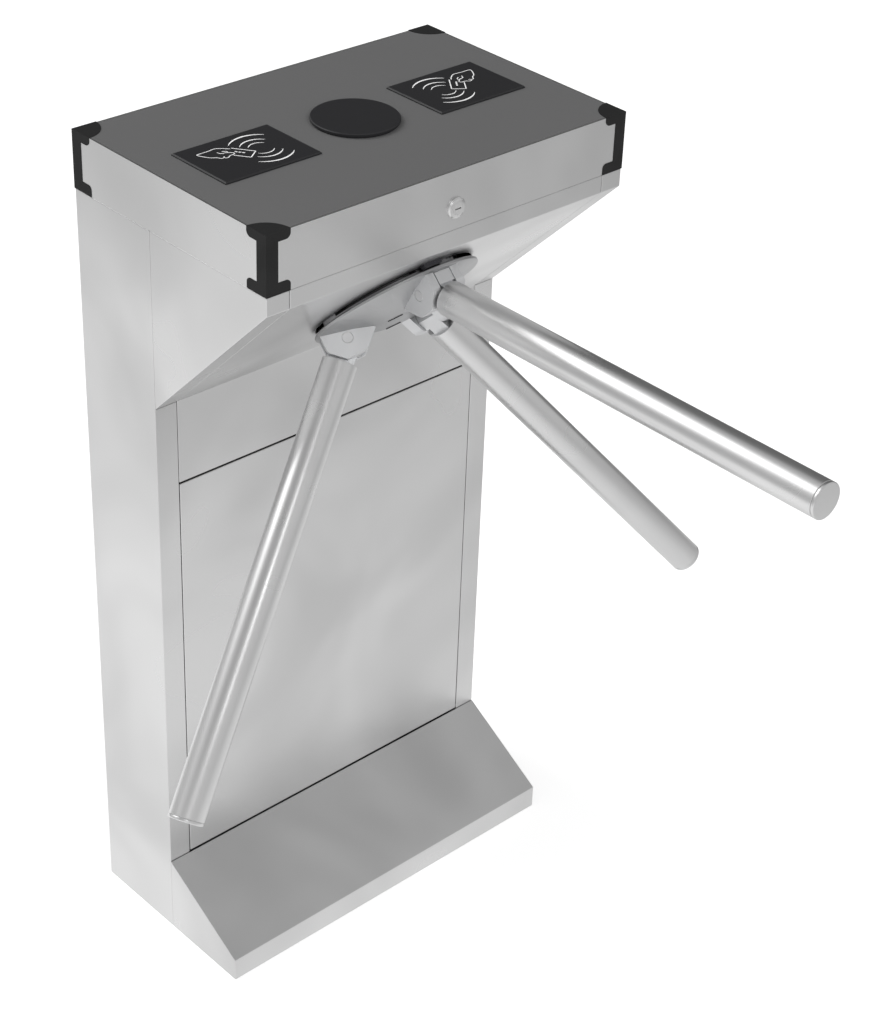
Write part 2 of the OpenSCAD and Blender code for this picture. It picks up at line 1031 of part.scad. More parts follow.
// Countersunk screw along +Z, its head flush with the plane it stands on
module screw(extra) {
    rotate_extrude($fn = 24)
        polygon([
            [0, 0], [screw_head_d / 2 + extra, 0],
            [screw_d / 2 + extra, screw_head_t],
            [screw_d / 2 + extra, screw_l + extra], [0, screw_l + extra]
        ]);
}

module rotor_disc() {
    color([0.72, 0.73, 0.75])
        hub()
            difference() {
                union() {
                    disc_blank();
                    rotate([0, 0, arm_turns[0]])
                        for (x = [-mark_off, mark_off])
                            translate([x, mark_in, crown_z])
                                box([-mark_w / 2, -mark_l / 2, -mark_h],
                                    [mark_w / 2, mark_l / 2, mark_h]);
                }
                bar(spigot_d + 2 * fix, 0, disc_gap + spigot_l);
                for (t = arm_turns)
                    rotate([0, 0, t])
                        translate([0, pin_y, pin_z])
                            pocket();
                flange_screw_places()
                    screw(fix);
                cheek_screw_places()
                    screw(fix);
            }
}

// Hollow in the disc that an arm's tongue turns in
module pocket() {
    rotate([0, 90, 0])
        bar(2 * (eye_r + pocket_gap), -clevis_gap / 2, clevis_gap / 2);
    along_x(-clevis_gap / 2, clevis_gap / 2)
        polygon(scaled(pocket_shares, cheek_r));
}

module clevis_cheeks() {
    t = (clevis_w - clevis_gap) / 2;
    color([0.7, 0.71, 0.73])
        difference() {
            for (i = [0:2], s = [-clevis_w / 2, clevis_gap / 2])
                at_pin(i)
                    along_x(s, s + t)
                        polygon(scaled(cheek_shares, cheek_r));
            hub()
                disc_blank();
            for (i = [0:2])
                at_pin(i)
                    rotate([0, 90, 0])
                        bar(arm_pin_d + 2 * fix, -clevis_w, clevis_w);
            hub()
                cheek_screw_places()
                    screw(fix);
        }
}

module disc_screws() {
    color("gray")
        hub() {
            flange_screw_places()
                screw(0);
            cheek_screw_places()
                screw(0);
        }
}

module arm_pins() {
    r = arm_pin_d / 2;
    l = clevis_w / 2;
    color("gainsboro")
        for (i = [0:2])
            at_pin(i)
                rotate([0, 90, 0])
                    rotate_extrude()
                        polygon([
                            [0, -l], [r - pin_edge, -l], [r, pin_edge - l],
                            [r, l - pin_edge], [r - pin_edge, l], [0, l]
                        ]);
}

// Root block of an arm: the eye, the neck and the plug inside the tube
module arm_tongue(i) {
    color([0.75, 0.76, 0.78])
        difference() {
            union() {
                at_pin(i) {
                    along_x(tongue_x0, tongue_x1)
                        polygon(scaled(tongue_shares, cheek_r));
                    rotate([0, 90, 0]) {
                        bar(2 * eye_r, tongue_x0, tongue_x1);
                        bar(2 * eye_boss_r, seat - clevis_gap / 2,
                            clevis_gap / 2 - seat);
                    }
                }
                along_arm(i) {
                    box([-neck_w / 2, -neck_h / 2, neck_u0],
                        [neck_w / 2, neck_h / 2, root_u + plug_in + plug_l]);
                    bar(2 * (tube_in_r - fix), root_u + plug_in,
                        root_u + plug_in + plug_l);
                }
            }
            at_pin(i)
                rotate([0, 90, 0])
                    bar(arm_pin_d + 2 * run, -clevis_w, clevis_w);
        }
}

module arm_tongue_a() {
    arm_tongue(0);
}

module arm_tongue_b() {
    arm_tongue(1);
}

module arm_tongue_c() {
    arm_tongue(2);
}

module arm_tube(i) {
    tip = arm_reach - pin_s;
    color([0.8, 0.81, 0.83])
        along_arm(i)
            difference() {
                bar(arm_d, root_u, tip - cap_t);
                bar(2 * tube_in_r, root_u - over, tip);
            }
}

module arm_tube_a() {
    arm_tube(0);
}

module arm_tube_b() {
    arm_tube(1);
}

module arm_tube_c() {
    arm_tube(2);
}

module arm_cap(i) {
    tip = arm_reach - pin_s;
    r = arm_d / 2;
    plug_r = tube_in_r - fix;
    color([0.82, 0.83, 0.85])
        along_arm(i)
            rotate_extrude()
                polygon([
                    [0, tip - cap_t - cap_spigot], [plug_r, tip - cap_t - cap_spigot],
                    [plug_r, tip - cap_t], [r, tip - cap_t],
                    [r, tip - cap_edge], [r - cap_edge, tip], [0, tip]
                ]);
}

module arm_cap_a() {
    arm_cap(0);
}

module arm_cap_b() {
    arm_cap(1);
}

module arm_cap_c() {
    arm_cap(2);
}

// Shaft and bearings

module main_shaft() {
    color("gray")
        hub()
            difference() {
                union() {
                    bar(shaft_d, nut_z0, disc_gap);
                    bar(spacer_d, bearing_z, disc_gap);
                    bar(shaft_flange_d, flange_gap, disc_gap);
                    bar(spigot_d, flange_gap, disc_gap + spigot_l - spigot_gap);
                }
                flange_screw_places()
                    screw(fix);
            }
}

module shaft_nut() {
    color("darkgray")
        hub()
            difference() {
                translate([0, 0, nut_z0])
                    cylinder(d = nut_d, h = nut_t, $fn = 6);
                bar(shaft_d + 2 * fix, nut_z0 - over, gear_z0 + over);
            }
}

// Pads in the slope's opening, wide ones above and below the shaft, and two
// quarter rims that join them
module housing_pads() {
    intersection() {
        bar(2 * pad_r, -sheet_t - lug_t, pad_z);
        for (p = [[0, pad_w], [90, lug_w], [180, pad_w], [270, lug_w]])
            rotate([0, 0, p[0]])
                box([-p[1] / 2, pad_in_r, -sheet_t - lug_t],
                    [p[1] / 2, opening_d / 2, pad_z]);
    }
    intersection() {
        difference() {
            bar(2 * pad_r, pad_z - pad_rim_t, pad_z);
            bar(2 * (pad_r - pad_rim_w), pad_z - pad_rim_t - over, pad_z + over);
        }
        for (a = [90, 270])
            rotate([0, 0, a])
                cube(opening_d / 2);
    }
}

module bearing_housing() {
    lug_z1 = -sheet_t;
    color("lightgray")
        hub()
            difference() {
                union() {
                    bar(housing_flange_d, -housing_flange_t, 0);
                    bar(housing_d, housing_end_z, 0);
                    for (a = [0:90:270])
                        rotate([0, 0, a])
                            box([-lug_w / 2, 0, lug_z1 - lug_t],
                                [lug_w / 2, opening_d / 2 + lug_over, lug_z1]);
                    housing_pads();
                }
                bar(bearing_d + 2 * fix, front_in_z, over);
                bar(2 * step_r, housing_end_z - over, over);
                bar(bearing_d + 2 * fix, housing_end_z - over, rear_out_z);
            }
}

// Places children at both bearings, centred along the shaft
module at_bearings() {
    for (z = [bearing_z - bearing_w / 2, rear_out_z - bearing_w / 2])
        translate([0, 0, z])
            children();
}

// Ring with a groove that the balls run in
module race(r0, r1) {
    rotate_extrude()
        difference() {
            translate([r0, -bearing_w / 2])
                square([r1 - r0, bearing_w]);
            translate([ball_pitch_r, 0])
                circle(d = ball_d + 2 * run, $fn = 32);
        }
}

module bearing_outer_rings() {
    color("silver")
        hub()
            at_bearings()
                race(race_out_r, bearing_d / 2);
}

module bearing_inner_rings() {
    color("silver")
        hub()
            at_bearings()
                race(shaft_d / 2 + fix, race_in_r);
}

module bearing_balls() {
    color("gainsboro")
        hub()
            at_bearings()
                for (a = [0:balls - 1])
                    rotate([0, 0, a * 360 / balls])
                        translate([ball_pitch_r, 0, 0])
                            sphere(d = ball_d, $fn = 32);
}

module bearing_spacer() {
    color("silver")
        hub()
            difference() {
                bar(spacer_d, rear_out_z, front_in_z);
                bar(shaft_d + 2 * fix, rear_out_z - over, front_in_z + over);
            }
}

// Mechanism

module mech_plate() {
    c = plate_corner;
    color([0.1, 0.1, 0.11])
        hub()
            difference() {
                union() {
                    translate([0, 0, plate_back_z])
                        linear_extrude(plate_t)
                            polygon([
                                [-plate_hw, plate_y0 + c], [-plate_hw + c, plate_y0],
                                [plate_hw - c, plate_y0], [plate_hw, plate_y0 + c],
                                [plate_hw, plate_y1 - c], [plate_hw - c, plate_y1],
                                [-plate_hw + c, plate_y1], [-plate_hw, plate_y1 - c]
                            ]);
                    translate([lever_x, lever_y, 0])
                        bar(post_d, lever_z0 - post_end, plate_z);
                    for (x = [-pawl_x, pawl_x])
                        translate([x, pawl_y, 0])
                            bar(post_d, index_z0 - post_end, plate_z);
                }
                bar(housing_d + 2 * fix, plate_back_z - over, plate_z + over);
            }
}

module rail(y, s) {
    along_x(-in_x, in_x)
        polygon([
            [y, plate_back_z], [y - s * rail_w, plate_back_z],
            [y - s * rail_w, plate_back_z - rail_t],
            [y - s * rail_t, plate_back_z - rail_t],
            [y - s * rail_t, plate_back_z - rail_w], [y, plate_back_z - rail_w]
        ]);
}

module mech_rails() {
    color("dimgray")
        hub() {
            rail(plate_y1, 1);
            rail(plate_y0, -1);
        }
}

module mech_rear_plate() {
    color("dimgray")
        hub()
            difference() {
                union() {
                    box([-rear_hw, rear_y0, rear_z0], [rear_hw, rear_y1, rear_z1]);
                    for (p = standoff_at, s = [-1, 1])
                        translate([s * p[0], p[1], 0])
                            bar(standoff_d, rear_z0, plate_back_z);
                }
                bar(rear_hole_d, rear_z0 - over, rear_z1 + over);
                translate([0, -centre_d, 0])
                    bar(pinion_shaft_d + 2 * spindle_room, rear_z0 - over,
                        rear_z1 + over);
            }
}

module index_disc() {
    color("slategray")
        hub()
            difference() {
                union() {
                    translate([0, 0, index_z0])
                        linear_extrude(index_t)
                            difference() {
                                circle(index_r, $fn = 96);
                                for (a = [0:120:240])
                                    rotate(a - 90)
                                        translate([index_r - scallop_deep + scallop_r, 0])
                                            circle(scallop_r);
                                for (a = [0:60:300])
                                    rotate(a)
                                        translate([index_r - notch_deep, -notch_w / 2])
                                            square([notch_deep + over, notch_w]);
                            }
                    bar(index_hub_d, gear_z1, rear_in_z);
                }
                bar(shaft_d + 2 * fix, gear_z1 - over, rear_in_z + over);
            }
}

module index_lever() {
    a = atan2(roller_y - lever_y, -lever_x);
    color("darkgray")
        hub()
            translate([lever_x, lever_y, 0])
                difference() {
                    rotate([0, 0, a]) {
                        bar(2 * lever_end_r, lever_z0, lever_z1);
                        box([0, -lever_w / 2, lever_z0], [lever_l, lever_w / 2, lever_z1]);
                        translate([lever_l, 0, 0]) {
                            bar(lever_w, lever_z0, lever_z1);
                            bar(roller_pin_d, lever_z0, index_z1);
                        }
                    }
                    bar(post_d + 2 * run, lever_z0 - over, lever_z1 + over);
                }
}

module index_roller() {
    color("black")
        hub()
            translate([0, roller_y, 0])
                difference() {
                    bar(roller_d, index_z0 - lever_gap + seat, index_z1 - seat);
                    bar(roller_pin_d + 2 * run, index_z0 - lever_gap - over,
                        index_z1 + over);
                }
}

// Tube swept along a coil that climbs from z0 to z1
module coil(r, wire, z0, z1, turns, steps, sides) {
    n = turns * steps;
    rings = [for (i = [0:n])
        let (a = 360 * i / steps, z = z0 + (z1 - z0) * i / n)
        [for (j = [0:sides - 1])
            let (b = 360 * j / sides)
            [(r + wire * cos(b) / 2) * cos(a), (r + wire * cos(b) / 2) * sin(a),
             z + wire * sin(b) / 2]]];
    side = [for (i = [0:n - 1], j = [0:sides - 1], k = [0, 1])
        let (p = i * sides + j, q = i * sides + (j + 1) % sides)
        k == 0 ? [p, p + sides, q] : [q, p + sides, q + sides]];
    first = [for (j = [1:sides - 2]) [0, j, j + 1]];
    last = [for (j = [1:sides - 2])
        [n * sides, n * sides + j + 1, n * sides + j]];
    polyhedron([for (ring = rings, p = ring) p], concat(side, first, last));
}

module index_spring() {
    gap = spring_wire / 2 + seat;
    color("dimgray")
        hub()
            translate([lever_x, lever_y, 0])
                coil(spring_r, spring_wire, lever_z1 + gap, plate_back_z - gap,
                     spring_turns, spring_steps, spring_sides);
}

// Pawl on the right: its nose points at the index disc
module pawl() {
    x0 = index_r + nose_gap - pawl_x;
    translate([pawl_x, pawl_y, index_z0])
        linear_extrude(index_t)
            difference() {
                union() {
                    circle(pawl_hub_r);
                    translate([-pawl_w / 2, -pawl_tail])
                        square([pawl_w, pawl_tail + pawl_up]);
                    translate([x0, -pawl_y - nose_w / 2])
                        square([-x0, nose_w]);
                }
                circle(d = post_d + 2 * run);
            }
}

module pawl_right() {
    color("slategray")
        hub()
            pawl();
}

module pawl_left() {
    color("slategray")
        hub()
            mirror([1, 0, 0])
                pawl();
}

module pawl_magnets() {
    x0 = pawl_x + pawl_w / 2 + magnet_gap;
    x1 = x0 + magnet_l;
    z = (index_z0 + index_z1) / 2;
    h = magnet_d / 2;
    color("peru")
        hub()
            both_sides() {
                translate([x0, magnet_y, z])
                    rotate([0, 90, 0])
                        cylinder(d = magnet_d, h = magnet_l);
                box([x1, magnet_y - h, z - h],
                    [x1 + magnet_plate, magnet_y + h, plate_back_z]);
                box([x1, magnet_y - h, plate_back_z - magnet_plate],
                    [x1 + magnet_plate + h, magnet_y + h, plate_back_z]);
            }
}

// Involute tooth outline: radius share t from the base circle to the tip
function inv_a(c) = tan(c) * 180 / PI - c;

function flank(n) =
    let (
        rp = gear_m * n / 2,
        rb = rp * cos(pressure_a),
        ra = rp + gear_m * addendum_share,
        rr = rp - gear_m * dedendum_share,
        half_a = 90 / n - backlash * 180 / PI / rp / 2 + inv_a(pressure_a)
    )
    concat(
        [[rr, half_a]],
        [for (s = [0:flank_steps])
            let (r = rb + (ra - rb) * s / flank_steps)
            [r, half_a - inv_a(acos(min(1, rb / r)))]]
    );

// All the points of a gear's outline
function gear_points(n) = [
    for (k = [0:n - 1])
        let (f = flank(n), m = len(f))
        for (j = [0:2 * m - 1])
            let (
                p = j < m ? f[j] : f[2 * m - 1 - j],
                a = 360 * k / n + (j < m ? -p[1] : p[1])
            )
            [p[0] * cos(a), p[0] * sin(a)]
];

module shaft_gear() {
    color("goldenrod")
        hub()
            translate([0, 0, gear_z0])
                linear_extrude(gear_t)
                    difference() {
                        rotate(-90)
                            polygon(gear_points(gear_n));
                        circle(d = shaft_d + 2 * fix);
                    }
}

module damper_pinion() {
    turn = 90 + 180 / pinion_n;
    color("goldenrod")
        hub()
            translate([0, -centre_d, 0]) {
                translate([0, 0, gear_z0])
                    linear_extrude(gear_t)
                        rotate(turn)
                            polygon(gear_points(pinion_n));
                bar(pinion_shaft_d, rear_z0 - damper_bore_l + spindle_gap, gear_z1);
            }
}

module damper_body() {
    color([0.2, 0.2, 0.22])
        hub()
            translate([0, -centre_d, 0])
                difference() {
                    union() {
                        bar(damper_d, rear_z0 - damper_l, rear_z0);
                        bar(damper_flange_d, rear_z0 - damper_flange_t, rear_z0);
                    }
                    bar(pinion_shaft_d + 2 * run, rear_z0 - damper_bore_l,
                        rear_z0 + over);
                }
}

module rotor_sensor() {
    y0 = opening_d / 2 + sensor_side;
    color([0.06, 0.06, 0.06])
        hub()
            box([-sensor_w, y0, 0], [0, y0 + sensor_d, pad_z]);
}

// Electrics on the rear wall

module control_box() {
    y1 = rear_y - sheet_t;
    y0 = y1 - box_d;
    color([0.3, 0.32, 0.34]) {
        box([-box_w / 2, y0 + box_lid_t, box_z], [box_w / 2, y1, box_z + box_h]);
        box([-box_w / 2 - box_rib, y0, box_z - box_rib],
            [box_w / 2 + box_rib, y0 + box_lid_t, box_z + box_h + box_rib]);
    }
}

module power_supply() {
    y1 = rear_y - sheet_t;
    color("silver") {
        box([-supply_w / 2, y1 - supply_d, supply_z],
            [supply_w / 2, y1, supply_z + supply_h]);
        box([-supply_w / 2 - foot_tab, y1 - sheet_t, supply_z],
            [supply_w / 2 + foot_tab, y1, supply_z + supply_h]);
    }
}

base_plate();
base_cover();
column_shell();
head_cheek_left();
head_cheek_right();
front_panel();
service_door();
door_pegs();
door_brackets();
lid_shell();
top_panel();
corner_guards();
reader_plate_left();
reader_plate_right();
reader_modules();
indicator_cap();
indicator_board();
lock_body();
lock_plug();
lock_cam();
lock_striker();
hinge_leaves_body();
hinge_leaves_lid();
hinge_pins();
mech_plate();
mech_rails();
mech_rear_plate();
bearing_housing();
bearing_outer_rings();
bearing_inner_rings();
bearing_balls();
bearing_spacer();
main_shaft();
shaft_nut();
rotor_disc();
clevis_cheeks();
disc_screws();
arm_pins();
arm_tongue_a();
arm_tongue_b();
arm_tongue_c();
arm_tube_a();
arm_tube_b();
arm_tube_c();
arm_cap_a();
arm_cap_b();
arm_cap_c();
index_disc();
index_lever();
index_roller();
index_spring();
pawl_left();
pawl_right();
pawl_magnets();
shaft_gear();
damper_pinion();
damper_body();
rotor_sensor();
control_box();
power_supply();
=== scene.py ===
"""Looks of the tripod turnstile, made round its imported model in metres.

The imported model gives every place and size: each piece here is worked out from a node's box or from
a joint, so it sits where its solid sits.
"""

import json
import math
from typing import NamedTuple

import bmesh
import bpy
import numpy as np
from bpy.props import FloatProperty, FloatVectorProperty, IntProperty, PointerProperty
from mathutils import Matrix, Vector


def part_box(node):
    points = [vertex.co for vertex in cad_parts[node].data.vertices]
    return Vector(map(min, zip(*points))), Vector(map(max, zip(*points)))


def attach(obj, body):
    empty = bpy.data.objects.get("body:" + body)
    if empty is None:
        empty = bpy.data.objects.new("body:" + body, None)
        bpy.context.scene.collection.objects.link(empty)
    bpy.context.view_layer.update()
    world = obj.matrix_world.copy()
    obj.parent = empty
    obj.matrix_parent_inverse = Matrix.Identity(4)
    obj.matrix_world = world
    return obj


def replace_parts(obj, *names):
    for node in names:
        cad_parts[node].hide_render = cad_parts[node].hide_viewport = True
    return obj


bl_info = {
    "name": "Tripod turnstile",
    "version": (1, 0, 0),
    "blender": (4, 5, 0),
    "location": "3D View > Sidebar > Turnstile",
    "description": "Builds a stainless tripod turnstile with its finishes, light and camera",
    "category": "Add Mesh",
}

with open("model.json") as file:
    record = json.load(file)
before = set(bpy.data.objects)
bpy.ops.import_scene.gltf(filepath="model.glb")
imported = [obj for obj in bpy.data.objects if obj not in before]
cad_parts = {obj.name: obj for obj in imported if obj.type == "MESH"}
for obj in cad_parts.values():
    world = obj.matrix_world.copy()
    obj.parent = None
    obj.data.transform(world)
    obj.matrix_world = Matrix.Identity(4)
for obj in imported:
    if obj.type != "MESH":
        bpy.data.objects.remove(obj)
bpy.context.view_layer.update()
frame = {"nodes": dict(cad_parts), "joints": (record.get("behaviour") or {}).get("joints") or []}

IMAGE_W, IMAGE_H = 890, 1024
# Width of the camera's sensor in millimetres, and how far the camera sees in metres
SENSOR, FAR = 36.0, 100.0
# Angles in degrees between two faces: above these an edge is crisp on a copied or a turned piece, and
# is rounded, and below the last one the faces are flat
CRISP, TURNED_CRISP, ROUNDED, FLAT = 32, 40, 40, 0.4
# Points nearer than this, in metres, are one point
MERGE = 1e-6
# Faces across a rounded edge
EDGE_STEPS = 2
JOINTS = {j["name"]: j for j in frame["joints"]}
ARMS = ("a", "b", "c")

# How much narrower a printed wave is at its ends
WAVE_TAPER = 0.7
# Waves of the printed sign: radius, width and half their span in degrees
WAVES = ((0.0130, 0.0013, 52), (0.0215, 0.0017, 48), (0.0330, 0.0021, 43))
# Outlines of the printed card and hand, in millimetres from a plate's middle
CARD_LINES = (
    ((-6, 17.6), (8.9, -2.6)),
    ((8.9, -2.6), (-3.8, -11.6)),
    ((-3.8, -11.6), (-14.3, 2.8)),
)
CARD_MARKS = (
    ((-8.2, 9.0), (-6.6, 6.8)),
    ((-5.9, 5.9), (-4.3, 3.7)),
    ((-3.6, 2.8), (-2.0, 0.6)),
)
HAND_LINES = (
    (
        (-8.2, 16.8), (-13, 21.8), (-20, 26), (-30, 25.2),
        (-39, 25.2), (-43, 24.4), (-40.5, 17.5), (-36, 11),
    ),
    ((-36, 11), (-31.3, 8), (-29.4, 4.8), (-26.6, 3.4), (-23.4, 6)),
    ((-25.6, 4.2), (-23.6, 1.6), (-20.6, 2.2), (-17.6, 4.2), (-12, 4.8), (-11, 7.6)),
    ((-11, 7.6), (-15.8, 11.6), (-21.8, 13.2), (-23.8, 17.6)),
    ((-18.6, 16.6), (-15.2, 14.9), (-14.2, 12)),
)

MILLIMETRE = 0.001
# Points along a printed wave, and between two points of the printed hand
ARC_STEPS, FLOW_STEPS = 28, 8
# Shortest step along a printed line, so that nothing is divided by zero
SHORTEST = 1e-12
# Widths of the printed hand and of the card's marks, as shares of the card's outline
HAND_SHARE, MARK_SHARE = 0.9, 1.6

# How far from the middle the floor's levels reach
FLOOR_REACH = 4.0
# Grey levels of the floor as the metal sees it, from the front right to behind the left
FLOOR_ACROSS = (
    (0.0, 0.43), (0.25, 0.54), (0.34, 0.64), (0.4, 0.74), (0.46, 0.84), (0.54, 1.0), (0.63, 0.99),
    (0.72, 0.87), (0.86, 0.5),
)
# What is left of it from the middle to behind the right
FLOOR_BEYOND = ((0.0, 1.0), (0.3, 1.0), (0.65, 0.28))
# Where the two lamps stand, and the place that they face
KEY_PLACE, FILL_PLACE, LAMP_TARGET = (-1.6, 2.4, 3.4), (-0.6, -3.0, 3.0), (0, 0, 0.6)
# Grey levels of the studio's wall, by the sine of the height
WALL = ((0.0, 0.56), (0.2, 0.57), (0.34, 0.61), (0.5, 0.6), (0.66, 0.42), (0.78, 0.48), (1.0, 0.5))
# Patches of the wall: azimuth, elevation, inner and outer angle in degrees, and level
PATCHES = (
    (34, 20, 28, 50, 0.1), (146, 2, 8, 22, 0.42), (128, 44, 15, 25, 2.0), (-165, 44, 6, 20, 0.32),
    (-119, 37, 3, 8, 3.2),
)


class Finish(NamedTuple):
    """A finish: its colour's name, its metallic share and roughness, the slow drift's scale and
    amount, the grain's scale, the bump's strength, the grain's stretch and the specular level."""

    colour: str
    metallic: float
    roughness: float
    drift: float
    amount: float
    grain: float
    bump: float
    stretch: tuple = (1.0, 1.0, 1.0)
    specular: float = 0.5


FINISHES = {
    # painted reflection in part: the stainless sheet's strong tone drift stands in for cloudy
    # reflections of the studio as well as random tone
    "sheet_steel": Finish("sheet", 1.0, 0.3, 4.2, 0.16, 1400.0, 0.03, stretch=(1.0, 1.0, 0.03)),
    "arm_steel": Finish("arm", 0.95, 0.29, 9.0, 0.04, 1600.0, 0.01),
    "cast_steel": Finish("cast", 0.9, 0.4, 14.0, 0.06, 1100.0, 0.04),
    "disc_steel": Finish("disc", 1.0, 0.36, 11.0, 0.1, 1100.0, 0.04),
    "bright_steel": Finish("bright", 0.9, 0.36, 30.0, 0.04, 2200.0, 0.02),
    "zinc_steel": Finish("zinc", 1.0, 0.42, 22.0, 0.25, 700.0, 0.04),
    "tool_steel": Finish("tool", 1.0, 0.32, 26.0, 0.15, 1500.0, 0.05, stretch=(1.0, 1.0, 0.1)),
    "panel_grey": Finish("panel", 0.0, 0.75, 3.0, 0.03, 900.0, 0.02),
    "guard_black": Finish("guard", 0.0, 0.75, 20.0, 0.1, 1500.0, 0.04, specular=0.4),
    "reader_black": Finish("reader", 0.0, 0.4, 12.0, 0.05, 1800.0, 0.01),
    "print_white": Finish("ink", 0.0, 0.6, 60.0, 0.04, 3000.0, 0.01),
    "plate_black": Finish("plate", 0.0, 0.4, 18.0, 0.1, 800.0, 0.06),
    # painted shade: the bearing housing's dark tone stands in for the shade on its pads in the gap
    # behind the rotor disc
    "housing_alloy": Finish("alloy_painted_shade", 1.0, 0.34, 20.0, 0.08, 1000.0, 0.04),
    "gear_brass": Finish("brass", 1.0, 0.28, 40.0, 0.1, 1500.0, 0.03),
    "magnet_bronze": Finish("magnet", 0.85, 0.38, 45.0, 0.3, 900.0, 0.04),
    "board_green": Finish("board", 0.0, 0.3, 60.0, 0.25, 1400.0, 0.05),
    "box_grey": Finish("box", 0.0, 0.5, 12.0, 0.08, 600.0, 0.12),
    "roller_rubber": Finish("rubber", 0.0, 0.75, 60.0, 0.2, 1200.0, 0.1),
}
# Half the roughness that a finish's gloss drifts by, and the depth of its grain in metres
GLOSS_DRIFT, RELIEF = 0.03, 0.001
# Soft noise of the slow drift, the span of it that becomes zero to one, and noise of the fine grain
DRIFT_NOISE = {"Detail": 2.0, "Roughness": 0.5, "Distortion": 0.6}
DRIFT_SPAN = (0.3, 0.7)
GRAIN_NOISE = {"Detail": 3.0, "Roughness": 0.6}
FLOOR_ROUGHNESS = 0.9


def length(name, text, default):
    """A length property in metres."""
    return FloatProperty(name=name, description=text, default=default, unit="LENGTH", precision=5)


def colour(name, text, default):
    """A colour property, as linear light."""
    return FloatVectorProperty(
        name=name, description=text, default=default, subtype="COLOR", size=3, min=0, max=1
    )


def share(name, text, default):
    """A plain number between 0 and 1."""
    return FloatProperty(name=name, description=text, default=default, min=0, max=1)


class TurnstileSizes(bpy.types.PropertyGroup):
    """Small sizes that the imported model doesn't hold."""

    sheet_edge: length("Sheet edge", "Rounding of a folded sheet's edges", 0.0011)
    plate_edge: length("Plate edge", "Rounding of thick plates and cast pieces", 0.0005)
    tube_edge: length("Tube edge", "Rounding of an arm's end", 0.0012)
    print_rise: length("Print height", "Height of the printed lines above a plate", 0.00008)
    wave_middle: length("Wave centre", "Distance of the waves' centre from a plate's middle", 0.018)
    line_w: length("Line width", "Width of the printed outline", 0.00115)
    disc_edge: length("Disc edge", "Rounding of the rotor disc's rim", 0.0009)
    crown_h: length("Crown height", "Height of the disc's flat crown above the slope", 0.0262)
    ring_steps: IntProperty(name="Round steps", description="Faces round a tube", default=128, min=24)


class TurnstileFinish(bpy.types.PropertyGroup):
    """Colours of the finishes."""

    sheet: colour("Sheet steel", "Satin stainless sheet", (0.79, 0.79, 0.79))
    arm: colour("Arm steel", "Fine satin arm tubes", (0.81, 0.81, 0.81))
    disc: colour("Rotor disc", "Blasted steel of the rotor disc", (0.5, 0.502, 0.508))
    cast: colour("Cast steel", "Cheeks and arm roots", (0.785, 0.79, 0.8))
    # painted shade: this colour darkens the two marks on the rotor disc in place of the shade along
    # their sides
    mark: colour("Marks", "Two dark marks on the rotor disc", (0.03, 0.03, 0.03))
    bright: colour("Bright steel", "Pins, lock and screws", (0.74, 0.74, 0.745))
    zinc: colour("Zinc plate", "Plated brackets and rails", (0.5, 0.51, 0.54))
    tool: colour("Tool steel", "Shaft, index disc and pawls", (0.36, 0.365, 0.38))
    panel: colour("Top panel", "Dark grey top panel", (0.1185, 0.1185, 0.119))
    guard: colour("Corner guards", "Black moulded plastic", (0.0115, 0.0115, 0.0117))
    reader: colour("Reader plates", "Black reader plates and indicator", (0.0155, 0.0155, 0.0172))
    ink: colour("Print", "White print on the plates", (0.95, 0.95, 0.95))
    plate: colour("Black plate", "Painted mechanism plate", (0.0196, 0.0196, 0.0235))
    # painted shade: this dark tone stands for the shade on the housing's pads behind the rotor disc,
    # not for their own colour
    alloy_painted_shade: colour("Alloy", "Dark anodised bearing housing", (0.2, 0.2, 0.205))
    brass: colour("Brass", "Damper gears", (0.72, 0.52, 0.2))
    magnet: colour("Magnet", "Magnet coils and brackets", (0.42, 0.27, 0.1))
    board: colour("Board", "Circuit boards", (0.03, 0.17, 0.06))
    box: colour("Boxes", "Control box", (0.16, 0.17, 0.19))
    rubber: colour("Rubber", "Index roller", (0.02, 0.02, 0.02))


class TurnstileStage(bpy.types.PropertyGroup):
    """Camera, lamps and floor."""

    place: FloatVectorProperty(
        name="Camera place",
        description="Where the camera stands",
        default=(-1.447917, -1.70766, 1.932723),
        subtype="TRANSLATION",
    )
    azimuth: FloatProperty(name="Azimuth", description="Camera heading in degrees", default=-45.378)
    elevation: FloatProperty(name="Elevation", description="Camera height in degrees", default=31.124)
    roll: FloatProperty(name="Roll", description="Camera roll in degrees", default=3.229)
    lens: FloatProperty(name="Lens", description="Focal length in millimetres", default=81.638)
    middle_x: FloatProperty(name="Centre column", description="In pixels", default=507.677)
    middle_y: FloatProperty(name="Centre row", description="In pixels", default=446.409)
    floor_size: length("Floor size", "Side of the floor", 40.0)
    floor_white: colour("Floor", "Floor colour", (0.8, 0.8, 0.8))
    floor_lift: share("Floor lift", "How much lighter the floor is to the eye", 0.5)
    floor_mirror: share("Floor in metal", "How much of the floor's levels the metal sees", 0.85)
    lamp_side: length("Lamp side", "Side of the square lamps", 2.4)
    key: FloatProperty(name="Key lamp", description="Power of the lamp behind the left", default=60.0)
    fill: FloatProperty(name="Fill lamp", description="Power of the lamp at the front", default=60.0)


def sizes():
    """The sizes that the sidebar shows."""
    return bpy.context.scene.turnstile_sizes


def colours():
    """The finishes' colours that the sidebar shows."""
    return bpy.context.scene.turnstile_finish


def settings():
    """The stage's settings that the sidebar shows."""
    return bpy.context.scene.turnstile_stage


# Surfaces


def mesh_object(name, points, faces):
    """A mesh object from an (n, 3) array of points and a list of faces."""
    mesh = bpy.data.meshes.new(name)
    mesh.from_pydata(np.asarray(points, float).tolist(), [], faces)
    mesh.update()
    made = bpy.data.objects.new(name, mesh)
    bpy.context.scene.collection.objects.link(made)
    return made


